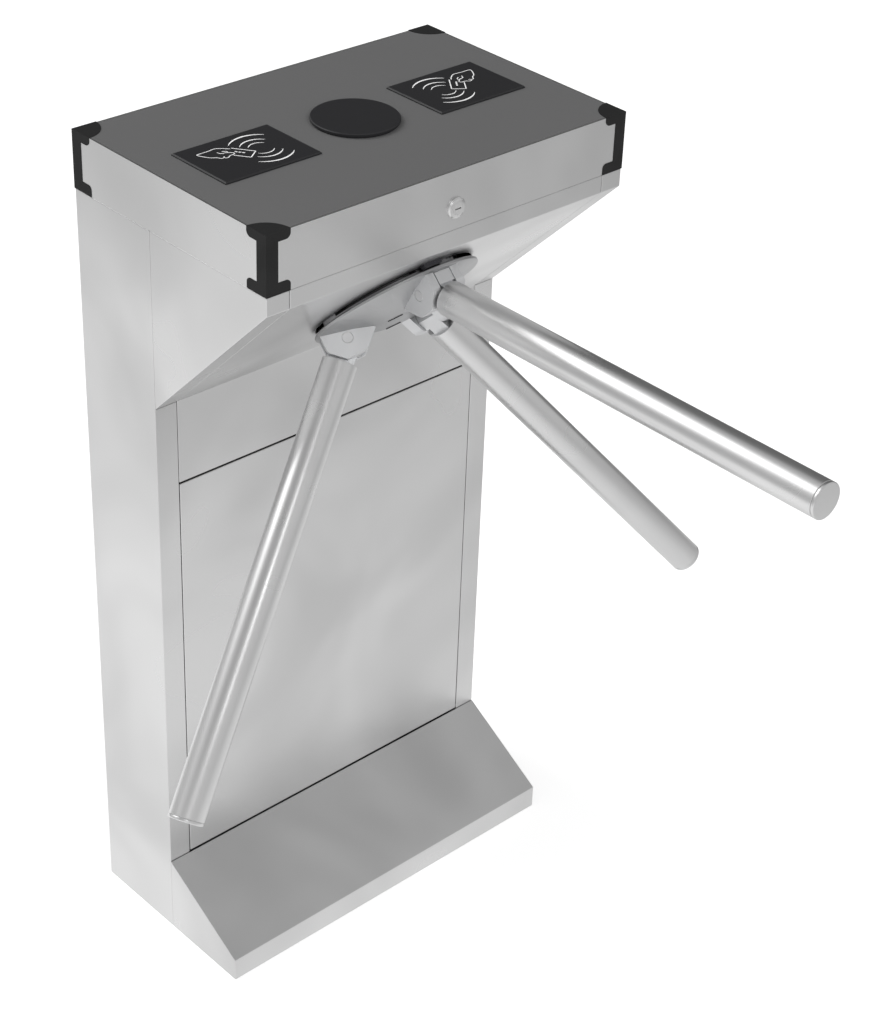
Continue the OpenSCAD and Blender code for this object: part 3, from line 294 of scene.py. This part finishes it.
def grid_faces(rows, columns, closed=False, first=0):
    """Four-sided faces over a grid of rows by columns, whose rows may close on themselves."""
    across = columns if closed else columns - 1
    r, c = np.meshgrid(np.arange(rows - 1), np.arange(across), indexing="ij")
    near = r * columns + c
    side = r * columns + (c + 1) % columns
    return first + np.stack([near, side, side + columns, near + columns], -1).reshape(-1, 4)


def turned(name, profile, place, axis, across, steps):
    """A solid of revolution: each (radius, height) of the profile becomes a circle of that radius,
    that far along the axis from its place. The profile starts and ends on the axis, where the
    circles shrink to one point."""
    radius, height = np.asarray(profile, float).T
    angle = np.linspace(0, 2 * np.pi, steps, endpoint=False)
    other = np.cross(axis, across)
    around = np.cos(angle)[:, None] * across + np.sin(angle)[:, None] * other
    inner = slice(1, len(radius) - 1)
    circles = (
        place
        + height[inner, None, None] * axis
        + radius[inner, None, None] * around[None]
    )
    rows = len(radius) - 2
    ends = place + height[[0, -1], None] * axis
    points = np.concatenate([circles.reshape(-1, 3), ends])
    quads = grid_faces(rows, steps, closed=True)
    ring = np.arange(steps)
    after = (ring + 1) % steps
    last = (rows - 1) * steps
    start, stop = rows * steps, rows * steps + 1
    fan_in = np.stack([after, ring, np.full(steps, start)], -1)
    fan_out = np.stack([ring + last, after + last, np.full(steps, stop)], -1)
    return mesh_object(name, points, quads.tolist() + fan_in.tolist() + fan_out.tolist())


def smooth(made, angle):
    """Smooth shading with edges kept crisp where faces meet at more than the angle."""
    made.data.shade_smooth()
    made.data.set_sharp_from_angle(angle=math.radians(angle))
    return made


def round_edges(made, width):
    """A small rounding on every crisp edge."""
    bevel = made.modifiers.new("edges", "BEVEL")
    bevel.width = width
    bevel.segments = EDGE_STEPS
    bevel.limit_method = "ANGLE"
    bevel.angle_limit = math.radians(ROUNDED)
    bevel.harden_normals = True


def dressed(node, width, material, body):
    """A finished copy of a node: its points merged, its flat faces joined, its edges rounded. It
    stands for the node."""
    made = bpy.data.objects.new(f"{node}_finished", frame["nodes"][node].data.copy())
    bpy.context.scene.collection.objects.link(made)
    work = bmesh.new()
    work.from_mesh(made.data)
    bmesh.ops.remove_doubles(work, verts=work.verts, dist=MERGE)
    bmesh.ops.dissolve_limit(
        work, angle_limit=math.radians(FLAT), verts=work.verts, edges=work.edges
    )
    work.to_mesh(made.data)
    work.free()
    smooth(made, CRISP)
    if width:
        round_edges(made, width)
    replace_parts(made, node)
    return placed(made, material, body)


def placed(made, material, body):
    """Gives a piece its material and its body."""
    made.data.materials.clear()
    made.data.materials.append(material)
    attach(made, body)
    return made


def paint(material, *nodes):
    """Gives the CAD nodes a finished material."""
    for node in nodes:
        made = frame["nodes"][node]
        if not made.data.materials:
            made.data.materials.append(material)
        for spot in made.material_slots:
            spot.material = material


# Shader trees


def noise_node(nodes, values):
    """A noise texture with some of its inputs set."""
    noise = nodes.new("ShaderNodeTexNoise")
    for label, value in values.items():
        noise.inputs[label].default_value = value
    return noise


def distance_along(nodes, links, place, direction):
    """How far a place lies along a direction."""
    made = nodes.new("ShaderNodeVectorMath")
    made.operation = "DOT_PRODUCT"
    made.inputs[1].default_value = direction
    links.new(place, made.inputs[0])
    return made.outputs["Value"]


def worked(nodes, links, operation, value, number):
    """A value worked with a number by one operation."""
    made = nodes.new("ShaderNodeMath")
    made.operation = operation
    made.inputs[1].default_value = number
    links.new(value, made.inputs[0])
    return made.outputs["Value"]


def ranged(nodes, links, value, low, high, kind="LINEAR"):
    """A value brought from a span to zero to one, and held there beyond the span."""
    made = nodes.new("ShaderNodeMapRange")
    made.interpolation_type = kind
    made.inputs["From Min"].default_value = low
    made.inputs["From Max"].default_value = high
    links.new(value, made.inputs["Value"])
    return made.outputs["Result"]


def blended(nodes, links, factor, first, second):
    """A colour between two, of which each is a plain colour or comes from a node."""
    made = nodes.new("ShaderNodeMix")
    made.data_type = "RGBA"
    links.new(factor, made.inputs["Factor"])
    for label, colour_or_output in (("A", first), ("B", second)):
        if isinstance(colour_or_output, tuple):
            made.inputs[label].default_value = colour_or_output
        else:
            links.new(colour_or_output, made.inputs[label])
    return made.outputs["Result"]


def ramped(nodes, links, value, stops):
    """A value's grey level on a colour ramp through (position, level) stops."""
    ramp = nodes.new("ShaderNodeValToRGB")
    ramp.color_ramp.interpolation = "EASE"
    while len(ramp.color_ramp.elements) < len(stops):
        ramp.color_ramp.elements.new(0.5)
    for element, (spot, level) in zip(ramp.color_ramp.elements, stops):
        element.position = spot
        element.color = (level, level, level, 1)
    links.new(value, ramp.inputs["Fac"])
    return ramp.outputs["Color"]


def new_group(name, inputs, outputs):
    """A shader group with float or vector inputs and float outputs."""
    group = bpy.data.node_groups.new(name, "ShaderNodeTree")
    for label, kind, value in inputs:
        made = group.interface.new_socket(label, in_out="INPUT", socket_type=kind)
        if value is not None:
            made.default_value = value
    for label in outputs:
        group.interface.new_socket(label, in_out="OUTPUT", socket_type="NodeSocketFloat")
    return group, group.nodes.new("NodeGroupInput"), group.nodes.new("NodeGroupOutput")


def drift_group():
    """Slow drift of tone over a sheet: soft noise, spread about one half. It is partly random tone
    and partly painted reflection, the cloudy patches of the studio seen in satin steel.
    """
    group, source, sink = new_group(
        "drift_and_painted_sheen",
        [("Place", "NodeSocketVector", None), ("Scale", "NodeSocketFloat", 4.0)],
        ["Drift"],
    )
    nodes, links = group.nodes, group.links
    noise = noise_node(nodes, DRIFT_NOISE)
    links.new(source.outputs["Place"], noise.inputs["Vector"])
    links.new(source.outputs["Scale"], noise.inputs["Scale"])
    spread = ranged(nodes, links, noise.outputs["Fac"], *DRIFT_SPAN, kind="SMOOTHSTEP")
    links.new(spread, sink.inputs["Drift"])
    return group


def grain_group():
    """Fine brushed grain: noise drawn out along one direction by the stretch."""
    group, source, sink = new_group(
        "brushed_grain",
        [
            ("Place", "NodeSocketVector", None),
            ("Stretch", "NodeSocketVector", (1.0, 1.0, 1.0)),
            ("Scale", "NodeSocketFloat", 900.0),
        ],
        ["Grain"],
    )
    nodes, links = group.nodes, group.links
    drawn = nodes.new("ShaderNodeVectorMath")
    drawn.operation = "MULTIPLY"
    links.new(source.outputs["Place"], drawn.inputs[0])
    links.new(source.outputs["Stretch"], drawn.inputs[1])
    noise = noise_node(nodes, GRAIN_NOISE)
    links.new(drawn.outputs["Vector"], noise.inputs["Vector"])
    links.new(source.outputs["Scale"], noise.inputs["Scale"])
    links.new(noise.outputs["Fac"], sink.inputs["Grain"])
    return group


def group_named(name, make):
    """The shared group of that name, made the first time it is asked for."""
    return bpy.data.node_groups.get(name) or make()


def coated(name, finish):
    """A finish whose tone and gloss drift slowly and whose surface has a fine grain. The drift of
    tone is partly random and partly painted reflection.

    The tone is multiplied by 1 - amount + amount * drift, the roughness moves by the same drift, and
    the grain is the height of a faint bump."""
    material = bpy.data.materials.new(name)
    material.use_nodes = True
    nodes, links = material.node_tree.nodes, material.node_tree.links
    shader = nodes["Principled BSDF"]
    shader.inputs["Metallic"].default_value = finish.metallic
    shader.inputs["Specular IOR Level"].default_value = finish.specular
    place = nodes.new("ShaderNodeTexCoord")
    slow = nodes.new("ShaderNodeGroup")
    slow.node_tree = group_named("drift_and_painted_sheen", drift_group)
    slow.inputs["Scale"].default_value = finish.drift
    links.new(place.outputs["Object"], slow.inputs["Place"])
    fine = nodes.new("ShaderNodeGroup")
    fine.node_tree = group_named("brushed_grain", grain_group)
    fine.inputs["Stretch"].default_value = finish.stretch
    fine.inputs["Scale"].default_value = finish.grain
    links.new(place.outputs["Object"], fine.inputs["Place"])
    tone = getattr(colours(), finish.colour)
    dark = (*(c * (1 - finish.amount) for c in tone), 1)
    base = blended(nodes, links, slow.outputs["Drift"], dark, (*tone, 1))
    links.new(base, shader.inputs["Base Color"])
    gloss = nodes.new("ShaderNodeMapRange")
    gloss.inputs["To Min"].default_value = finish.roughness + GLOSS_DRIFT
    gloss.inputs["To Max"].default_value = finish.roughness - GLOSS_DRIFT
    links.new(slow.outputs["Drift"], gloss.inputs["Value"])
    links.new(gloss.outputs["Result"], shader.inputs["Roughness"])
    relief = nodes.new("ShaderNodeBump")
    relief.inputs["Strength"].default_value = finish.bump
    relief.inputs["Distance"].default_value = RELIEF
    links.new(fine.outputs["Grain"], relief.inputs["Height"])
    links.new(relief.outputs["Normal"], shader.inputs["Normal"])
    return material


def finished(name):
    """The finish of that name, made the first time it is asked for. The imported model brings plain
    materials whose names a finish must not meet."""
    full = f"finished_{name}"
    return bpy.data.materials.get(full) or coated(full, FINISHES[name])


def disc_steel():
    """The rotor disc's steel. What stands proud of its flat crown is painted dark, as painted shade
    on the two marks' shaded sides: there the height of a place along the rotor's axis is above the
    crown's."""
    made = finished("disc_steel")
    hub = Vector(JOINTS["rotor_spin"]["pos_m"])
    axis = Vector(JOINTS["rotor_spin"]["axis"]).normalized()
    nodes, links = made.node_tree.nodes, made.node_tree.links
    base = nodes["Principled BSDF"].inputs["Base Color"]
    plain = base.links[0].from_socket
    place = nodes.new("ShaderNodeTexCoord").outputs["Object"]
    height = distance_along(nodes, links, place, axis)
    crown = hub.dot(axis) + sizes().crown_h
    # painted shade: whatever stands above the crown gets the dark colour of the shaded mark sides
    proud = worked(nodes, links, "GREATER_THAN", height, crown)
    links.new(blended(nodes, links, proud, plain, (*colours().mark, 1)), base)
    return made


# Places taken from the model


def unit(v):
    """The vector scaled to length one."""
    v = np.asarray(v, float)
    return v / np.linalg.norm(v)


def arm_line(letter):
    """An arm's pin, its direction and the pin's axis. The direction leans from the rotor's axis by
    the angle that makes the top arm level, away from the axis."""
    hub = np.array(JOINTS["rotor_spin"]["pos_m"])
    axis = unit(JOINTS["rotor_spin"]["axis"])
    joint = JOINTS[f"arm_{letter}_drop"]
    pin = np.array(joint["pos_m"])
    out = pin - hub
    out = unit(out - out @ axis * axis)
    lean = math.acos(-axis[1])
    return pin, math.cos(lean) * axis + math.sin(lean) * out, unit(joint["axis"])


# Pieces


def arc(middle, radius, start, stop):
    """Points on a circle from one angle to another, in degrees."""
    t = np.radians(np.linspace(start, stop, ARC_STEPS))
    return np.asarray(middle) + radius * np.stack([np.cos(t), np.sin(t)], -1)


def flowing(points):
    """A smooth line through the points: between two of them each place is the cubic whose slope at
    a point is half the step from the point before to the point after."""
    p = np.asarray(points, float)
    p = np.concatenate([[2 * p[0] - p[1]], p, [2 * p[-1] - p[-2]]])
    t = np.linspace(0, 1, FLOW_STEPS, endpoint=False)[None, :, None]
    a, b, c, d = (p[i : len(p) - 3 + i, None] for i in range(4))
    square = a - 2.5 * b + 2 * c - d / 2
    cube = 1.5 * (b - c) + (d - a) / 2
    line = b + t * (c - a) / 2 + t**2 * square + t**3 * cube
    return np.concatenate([line.reshape(-1, 2), p[-2:-1]])


def stroke(line, width, taper=0.0):
    """A flat band along a line: two rows of points, half a width to each side of it, and narrower
    towards its ends by the taper."""
    step = np.gradient(line, axis=0)
    side = np.stack([-step[:, 1], step[:, 0]], -1)
    side /= np.maximum(np.linalg.norm(side, axis=1), SHORTEST)[:, None]
    along = np.linspace(-1, 1, len(line))
    half = width / 2 * (1 - taper * along**2)
    return np.stack([line - side * half[:, None], line + side * half[:, None]], 1)


def printed(name, bands, middle, height, mirrored):
    """Flat bands as one mesh at a height over a plate's middle, mirrored left to right if asked."""
    points, faces, first = [], [], 0
    for band in bands:
        flat = band.reshape(-1, 2) * ((-1, 1) if mirrored else (1, 1))
        rows = grid_faces(len(band), 2, first=first)
        faces.append(rows if mirrored else rows[:, ::-1])
        points.append(np.column_stack([flat + middle, np.full(len(flat), height)]))
        first += len(flat)
    return mesh_object(name, np.concatenate(points), np.concatenate(faces).tolist())


def card_sign(side):
    """A generic sign on a reader plate: a hand that holds a card between two sets of waves."""
    s = sizes()
    low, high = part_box(f"reader_plate_{side}")
    middle = np.array([(low.x + high.x) / 2, (low.y + high.y) / 2])
    bands = []
    for up in (90, -90):
        for radius, width, spread in WAVES:
            line = arc((s.wave_middle, 0), radius, up - spread, up + spread)
            bands.append(stroke(line, width, taper=WAVE_TAPER))
    for line in CARD_LINES:
        bands.append(stroke(np.array(line) * MILLIMETRE, s.line_w))
    for line in CARD_MARKS:
        bands.append(stroke(np.array(line) * MILLIMETRE, s.line_w * MARK_SHARE))
    for line in HAND_LINES:
        bands.append(stroke(flowing(np.array(line) * MILLIMETRE), s.line_w * HAND_SHARE))
    made = printed(f"card_sign_{side}", bands, middle, high.z + s.print_rise, side == "right")
    return placed(made, finished("print_white"), "lid")


def end_profile(start, stop, radius, edge, steps=6):
    """A rod's profile from axis to axis, with both corners rounded to a quarter circle."""
    t = np.linspace(0, np.pi / 2, steps)
    rise = np.stack([radius - edge + edge * np.sin(t), start + edge - edge * np.cos(t)], -1)
    fall = np.stack([radius - edge + edge * np.cos(t), stop - edge + edge * np.sin(t)], -1)
    return [(0, start), *rise.tolist(), *fall.tolist(), (0, stop)]


def arm_pieces(letter):
    """The tube, the end cap and the root block of one arm."""
    s = sizes()
    pin, along, across = arm_line(letter)
    home_pin = arm_line("b")[0]
    low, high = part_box("arm_tube_b")
    tube_start, tube_stop = home_pin[1] - high.y, home_pin[1] - low.y
    tip = home_pin[1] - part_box("arm_cap_b")[0].y
    radius = (high.x - low.x) / 2
    tube = turned(
        f"arm_tube_{letter}_finished",
        end_profile(tube_start, tube_stop, radius, s.plate_edge),
        pin, along, across, s.ring_steps,
    )
    cap = turned(
        f"arm_cap_{letter}_finished",
        end_profile(tube_stop, tip, radius, s.tube_edge),
        pin, along, across, s.ring_steps,
    )
    for made, node in ((tube, "arm_tube"), (cap, "arm_cap")):
        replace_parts(smooth(made, TURNED_CRISP), f"{node}_{letter}")
        placed(made, finished("arm_steel"), f"arm_{letter}")
    dressed(f"arm_tongue_{letter}", s.plate_edge, finished("cast_steel"), f"arm_{letter}")


class PieceOperator:
    """What every operator here shares."""

    bl_options = {"REGISTER", "UNDO"}

    def execute(self, context):
        """Makes the pieces. Any failure is raised as it is."""
        self.make()
        return {"FINISHED"}


class MakeHousing(PieceOperator, bpy.types.Operator):
    """Folded sheets of the column, the head and the foot"""

    bl_idname = "turnstile.housing"
    bl_label = "Housing"

    def make(self):
        edge = sizes().sheet_edge
        for node in (
            "column_shell",
            "head_cheek_left",
            "head_cheek_right",
            "front_panel",
            "base_cover",
        ):
            dressed(node, edge, finished("sheet_steel"), "housing")
        paint(finished("sheet_steel"), "lock_striker")
        paint(finished("zinc_steel"), "base_plate", "door_brackets")


class MakeDoor(PieceOperator, bpy.types.Operator):
    """Service door with its pegs"""

    bl_idname = "turnstile.door"
    bl_label = "Service door"

    def make(self):
        dressed("service_door", sizes().sheet_edge, finished("sheet_steel"), "door")
        dressed("door_pegs", 0, finished("bright_steel"), "door")


class MakeLid(PieceOperator, bpy.types.Operator):
    """Lid shell, top panel, corner guards, hinges and lock"""

    bl_idname = "turnstile.lid"
    bl_label = "Lid"

    def make(self):
        dressed("lid_shell", 0, finished("sheet_steel"), "lid")
        dressed("top_panel", 0, finished("panel_grey"), "lid")
        dressed("corner_guards", 0, finished("guard_black"), "lid")
        for node, body in (("hinge_leaves_body", "housing"), ("hinge_leaves_lid", "lid")):
            dressed(node, 0, finished("sheet_steel"), body)
        paint(finished("bright_steel"), "hinge_pins")
        dressed("lock_body", 0, finished("arm_steel"), "lid")
        dressed("lock_plug", 0, finished("arm_steel"), "lock")
        paint(finished("zinc_steel"), "lock_cam")


class MakeReaders(PieceOperator, bpy.types.Operator):
    """Reader plates with their signs, the indicator and what lies under the panel"""

    bl_idname = "turnstile.readers"
    bl_label = "Readers and indicator"

    def make(self):
        for side in ("left", "right"):
            dressed(f"reader_plate_{side}", 0, finished("reader_black"), "lid")
            card_sign(side)
        dressed("indicator_cap", 0, finished("reader_black"), "lid")
        paint(finished("box_grey"), "reader_modules")
        paint(finished("board_green"), "indicator_board")


class MakeRotor(PieceOperator, bpy.types.Operator):
    """Rotor disc, cheeks and pins"""

    bl_idname = "turnstile.rotor"
    bl_label = "Rotor"

    def make(self):
        s = sizes()
        dressed("rotor_disc", s.disc_edge, disc_steel(), "rotor")
        dressed("clevis_cheeks", s.plate_edge, finished("cast_steel"), "rotor")
        dressed("arm_pins", 0, finished("bright_steel"), "rotor")
        paint(finished("bright_steel"), "disc_screws", "bearing_inner_rings")


class MakeArms(PieceOperator, bpy.types.Operator):
    """The three arms"""

    bl_idname = "turnstile.arms"
    bl_label = "Arms"

    def make(self):
        for letter in ARMS:
            arm_pieces(letter)


class MakeMechanism(PieceOperator, bpy.types.Operator):
    """Shaft, bearings, index disc, pawls, magnets and damper"""

    bl_idname = "turnstile.mechanism"
    bl_label = "Mechanism"

    def make(self):
        edge = sizes().plate_edge
        # painted shade: the housing is dark as the shade in the gap behind the rotor disc
        dressed("bearing_housing", 0, finished("housing_alloy"), "housing")
        dressed("mech_plate", edge, finished("plate_black"), "housing")
        dressed("index_spring", 0, finished("tool_steel"), "housing")
        paint(finished("plate_black"), "damper_body", "rotor_sensor")
        paint(finished("zinc_steel"), "mech_rails", "mech_rear_plate", "shaft_nut")
        paint(finished("bright_steel"), "bearing_outer_rings", "bearing_balls", "bearing_spacer")
        paint(finished("tool_steel"), "main_shaft", "index_disc", "index_lever")
        paint(finished("tool_steel"), "pawl_left", "pawl_right")
        paint(finished("magnet_bronze"), "pawl_magnets")
        paint(finished("gear_brass"), "shaft_gear", "damper_pinion")
        paint(finished("roller_rubber"), "index_roller")


class MakeElectrics(PieceOperator, bpy.types.Operator):
    """Control box and power supply behind the door"""

    bl_idname = "turnstile.electrics"
    bl_label = "Electrics"

    def make(self):
        paint(finished("box_grey"), "control_box")
        paint(finished("zinc_steel"), "power_supply")


# Stage


def floor_material():
    """Pale floor: near white to the eye with the object's shadow on it. In the metal it is brightest
    behind the left side and falls off to the front right and behind the right, like a floor lit from
    one corner: its level there is the product of two ramps over those two diagonals."""
    material = bpy.data.materials.new("pale_floor")
    material.use_nodes = True
    nodes, links = material.node_tree.nodes, material.node_tree.links
    stage = settings()
    shader = nodes["Principled BSDF"]
    shader.inputs["Base Color"].default_value = (*stage.floor_white, 1)
    shader.inputs["Roughness"].default_value = FLOOR_ROUGHNESS
    shader.inputs["Specular IOR Level"].default_value = 0.0
    path = nodes.new("ShaderNodeLightPath")
    lift = worked(nodes, links, "MULTIPLY", path.outputs["Is Camera Ray"], stage.floor_lift)
    glow = nodes.new("ShaderNodeEmission")
    links.new(lift, glow.inputs["Strength"])
    seen = nodes.new("ShaderNodeAddShader")
    links.new(shader.outputs["BSDF"], seen.inputs[0])
    links.new(glow.outputs["Emission"], seen.inputs[1])
    place = nodes.new("ShaderNodeTexCoord").outputs["Object"]
    mirror = nodes.new("ShaderNodeEmission")
    levels = []
    diagonals = (((-1, 1, 0), -FLOOR_REACH, FLOOR_ACROSS), ((1, 1, 0), 0.0, FLOOR_BEYOND))
    for direction, start, ramp_stops in diagonals:
        far = distance_along(nodes, links, place, Vector(direction).normalized())
        spot = ranged(nodes, links, far, start, FLOOR_REACH)
        levels.append(ramped(nodes, links, spot, ramp_stops))
    links.new(levels[0], mirror.inputs["Color"])
    links.new(levels[1], mirror.inputs["Strength"])
    part = worked(nodes, links, "MULTIPLY", path.outputs["Is Glossy Ray"], stage.floor_mirror)
    mix = nodes.new("ShaderNodeMixShader")
    links.new(part, mix.inputs["Fac"])
    links.new(seen.outputs["Shader"], mix.inputs[1])
    links.new(mirror.outputs["Emission"], mix.inputs[2])
    links.new(mix.outputs["Shader"], nodes["Material Output"].inputs["Surface"])
    return material


def studio_world():
    """A round studio: white to the eye. In the metal its wall rises from a grey horizon, and each
    patch mixes in its own level within its angle, falling off towards a wider one."""
    world = bpy.data.worlds.new("studio")
    bpy.context.scene.world = world
    world.use_nodes = True
    nodes, links = world.node_tree.nodes, world.node_tree.links
    place = nodes.new("ShaderNodeTexCoord").outputs["Generated"]
    parts = nodes.new("ShaderNodeSeparateXYZ")
    links.new(place, parts.inputs["Vector"])
    tone = ramped(nodes, links, parts.outputs["Z"], WALL)
    for azimuth, elevation, inner, outer, level in PATCHES:
        a, e, near, far = (math.radians(v) for v in (azimuth, elevation, inner, outer))
        middle = (math.cos(a) * math.cos(e), math.sin(a) * math.cos(e), math.sin(e))
        facing = distance_along(nodes, links, place, middle)
        inside = ranged(nodes, links, facing, math.cos(far), math.cos(near), kind="SMOOTHSTEP")
        tone = blended(nodes, links, inside, tone, (level, level, level, 1))
    path = nodes.new("ShaderNodeLightPath")
    seen = blended(nodes, links, path.outputs["Is Camera Ray"], tone, (1, 1, 1, 1))
    links.new(seen, nodes["Background"].inputs["Color"])


def area_lamp(name, power, place):
    """A soft square lamp that faces the part. The metal sees the studio's wall in its place."""
    light = bpy.data.lights.new(name, "AREA")
    light.size = settings().lamp_side
    light.energy = power
    made = bpy.data.objects.new(name, light)
    made.location = place
    facing = Vector(LAMP_TARGET) - Vector(place)
    made.rotation_euler = facing.to_track_quat("-Z", "Y").to_euler()
    made.visible_glossy = False
    bpy.context.scene.collection.objects.link(made)


def photo_camera():
    """The camera: it looks back along the direction of its azimuth and elevation, rolled a little."""
    stage = settings()
    a, e, r = (math.radians(v) for v in (stage.azimuth, stage.elevation, stage.roll))
    back = Vector((math.sin(a) * math.cos(e), -math.cos(a) * math.cos(e), math.sin(e)))
    right = Vector((math.cos(a), math.sin(a), 0))
    up = back.cross(right)
    turned_right = math.cos(r) * right + math.sin(r) * up
    turned_up = math.cos(r) * up - math.sin(r) * right
    turn = Matrix((turned_right, turned_up, back)).transposed().to_4x4()
    data = bpy.data.cameras.new("camera")
    data.sensor_width = SENSOR
    data.lens = stage.lens
    long_side = max(IMAGE_W, IMAGE_H)
    data.shift_x = (IMAGE_W / 2 - stage.middle_x) / long_side
    data.shift_y = (stage.middle_y - IMAGE_H / 2) / long_side
    data.clip_end = FAR
    made = bpy.data.objects.new("camera", data)
    made.matrix_world = Matrix.Translation(stage.place) @ turn
    bpy.context.scene.collection.objects.link(made)
    bpy.context.scene.camera = made


class MakeStage(PieceOperator, bpy.types.Operator):
    """Floor, lamps, world and camera"""

    bl_idname = "turnstile.stage"
    bl_label = "Stage"

    def make(self):
        stage = settings()
        half = stage.floor_size / 2
        corners = [(-half, -half, 0), (half, -half, 0), (half, half, 0), (-half, half, 0)]
        floor = mesh_object("floor", corners, [(0, 1, 2, 3)])
        floor.data.materials.append(floor_material())
        studio_world()
        area_lamp("key_lamp", stage.key, KEY_PLACE)
        area_lamp("fill_lamp", stage.fill, FILL_PLACE)
        photo_camera()
        bpy.context.scene.view_settings.view_transform = "Standard"


OPERATORS = (
    MakeStage,
    MakeHousing,
    MakeDoor,
    MakeLid,
    MakeReaders,
    MakeRotor,
    MakeArms,
    MakeMechanism,
    MakeElectrics,
)


class TurnstilePanel(bpy.types.Panel):
    """Lists the sizes, the colours, the stage's settings and the operators"""

    bl_idname = "VIEW3D_PT_turnstile"
    bl_label = "Turnstile"
    bl_space_type = "VIEW_3D"
    bl_region_type = "UI"
    bl_category = "Turnstile"

    def draw(self, context):
        """Draws one column of settings and one of buttons."""
        layout = self.layout
        for group in (getattr(context.scene, name) for name in GROUPS):
            column = layout.column(align=True)
            for name in group.__annotations__:
                column.prop(group, name)
        for operator in OPERATORS:
            layout.operator(operator.bl_idname)


GROUPS = {
    "turnstile_sizes": TurnstileSizes,
    "turnstile_finish": TurnstileFinish,
    "turnstile_stage": TurnstileStage,
}


def register():
    """Registers the classes and hangs the settings on the scene."""
    for cls in (*GROUPS.values(), *OPERATORS, TurnstilePanel):
        bpy.utils.register_class(cls)
    for name, cls in GROUPS.items():
        setattr(bpy.types.Scene, name, PointerProperty(type=cls))


def unregister():
    """Takes the settings and the classes away again."""
    for name in GROUPS:
        delattr(bpy.types.Scene, name)
    for cls in reversed((*GROUPS.values(), *OPERATORS, TurnstilePanel)):
        bpy.utils.unregister_class(cls)


def main():
    """Builds everything in order."""
    register()
    bpy.ops.turnstile.stage()
    bpy.ops.turnstile.housing()
    bpy.ops.turnstile.door()
    bpy.ops.turnstile.lid()
    bpy.ops.turnstile.readers()
    bpy.ops.turnstile.rotor()
    bpy.ops.turnstile.arms()
    bpy.ops.turnstile.mechanism()
    bpy.ops.turnstile.electrics()


if __name__ == "__main__":
    main()
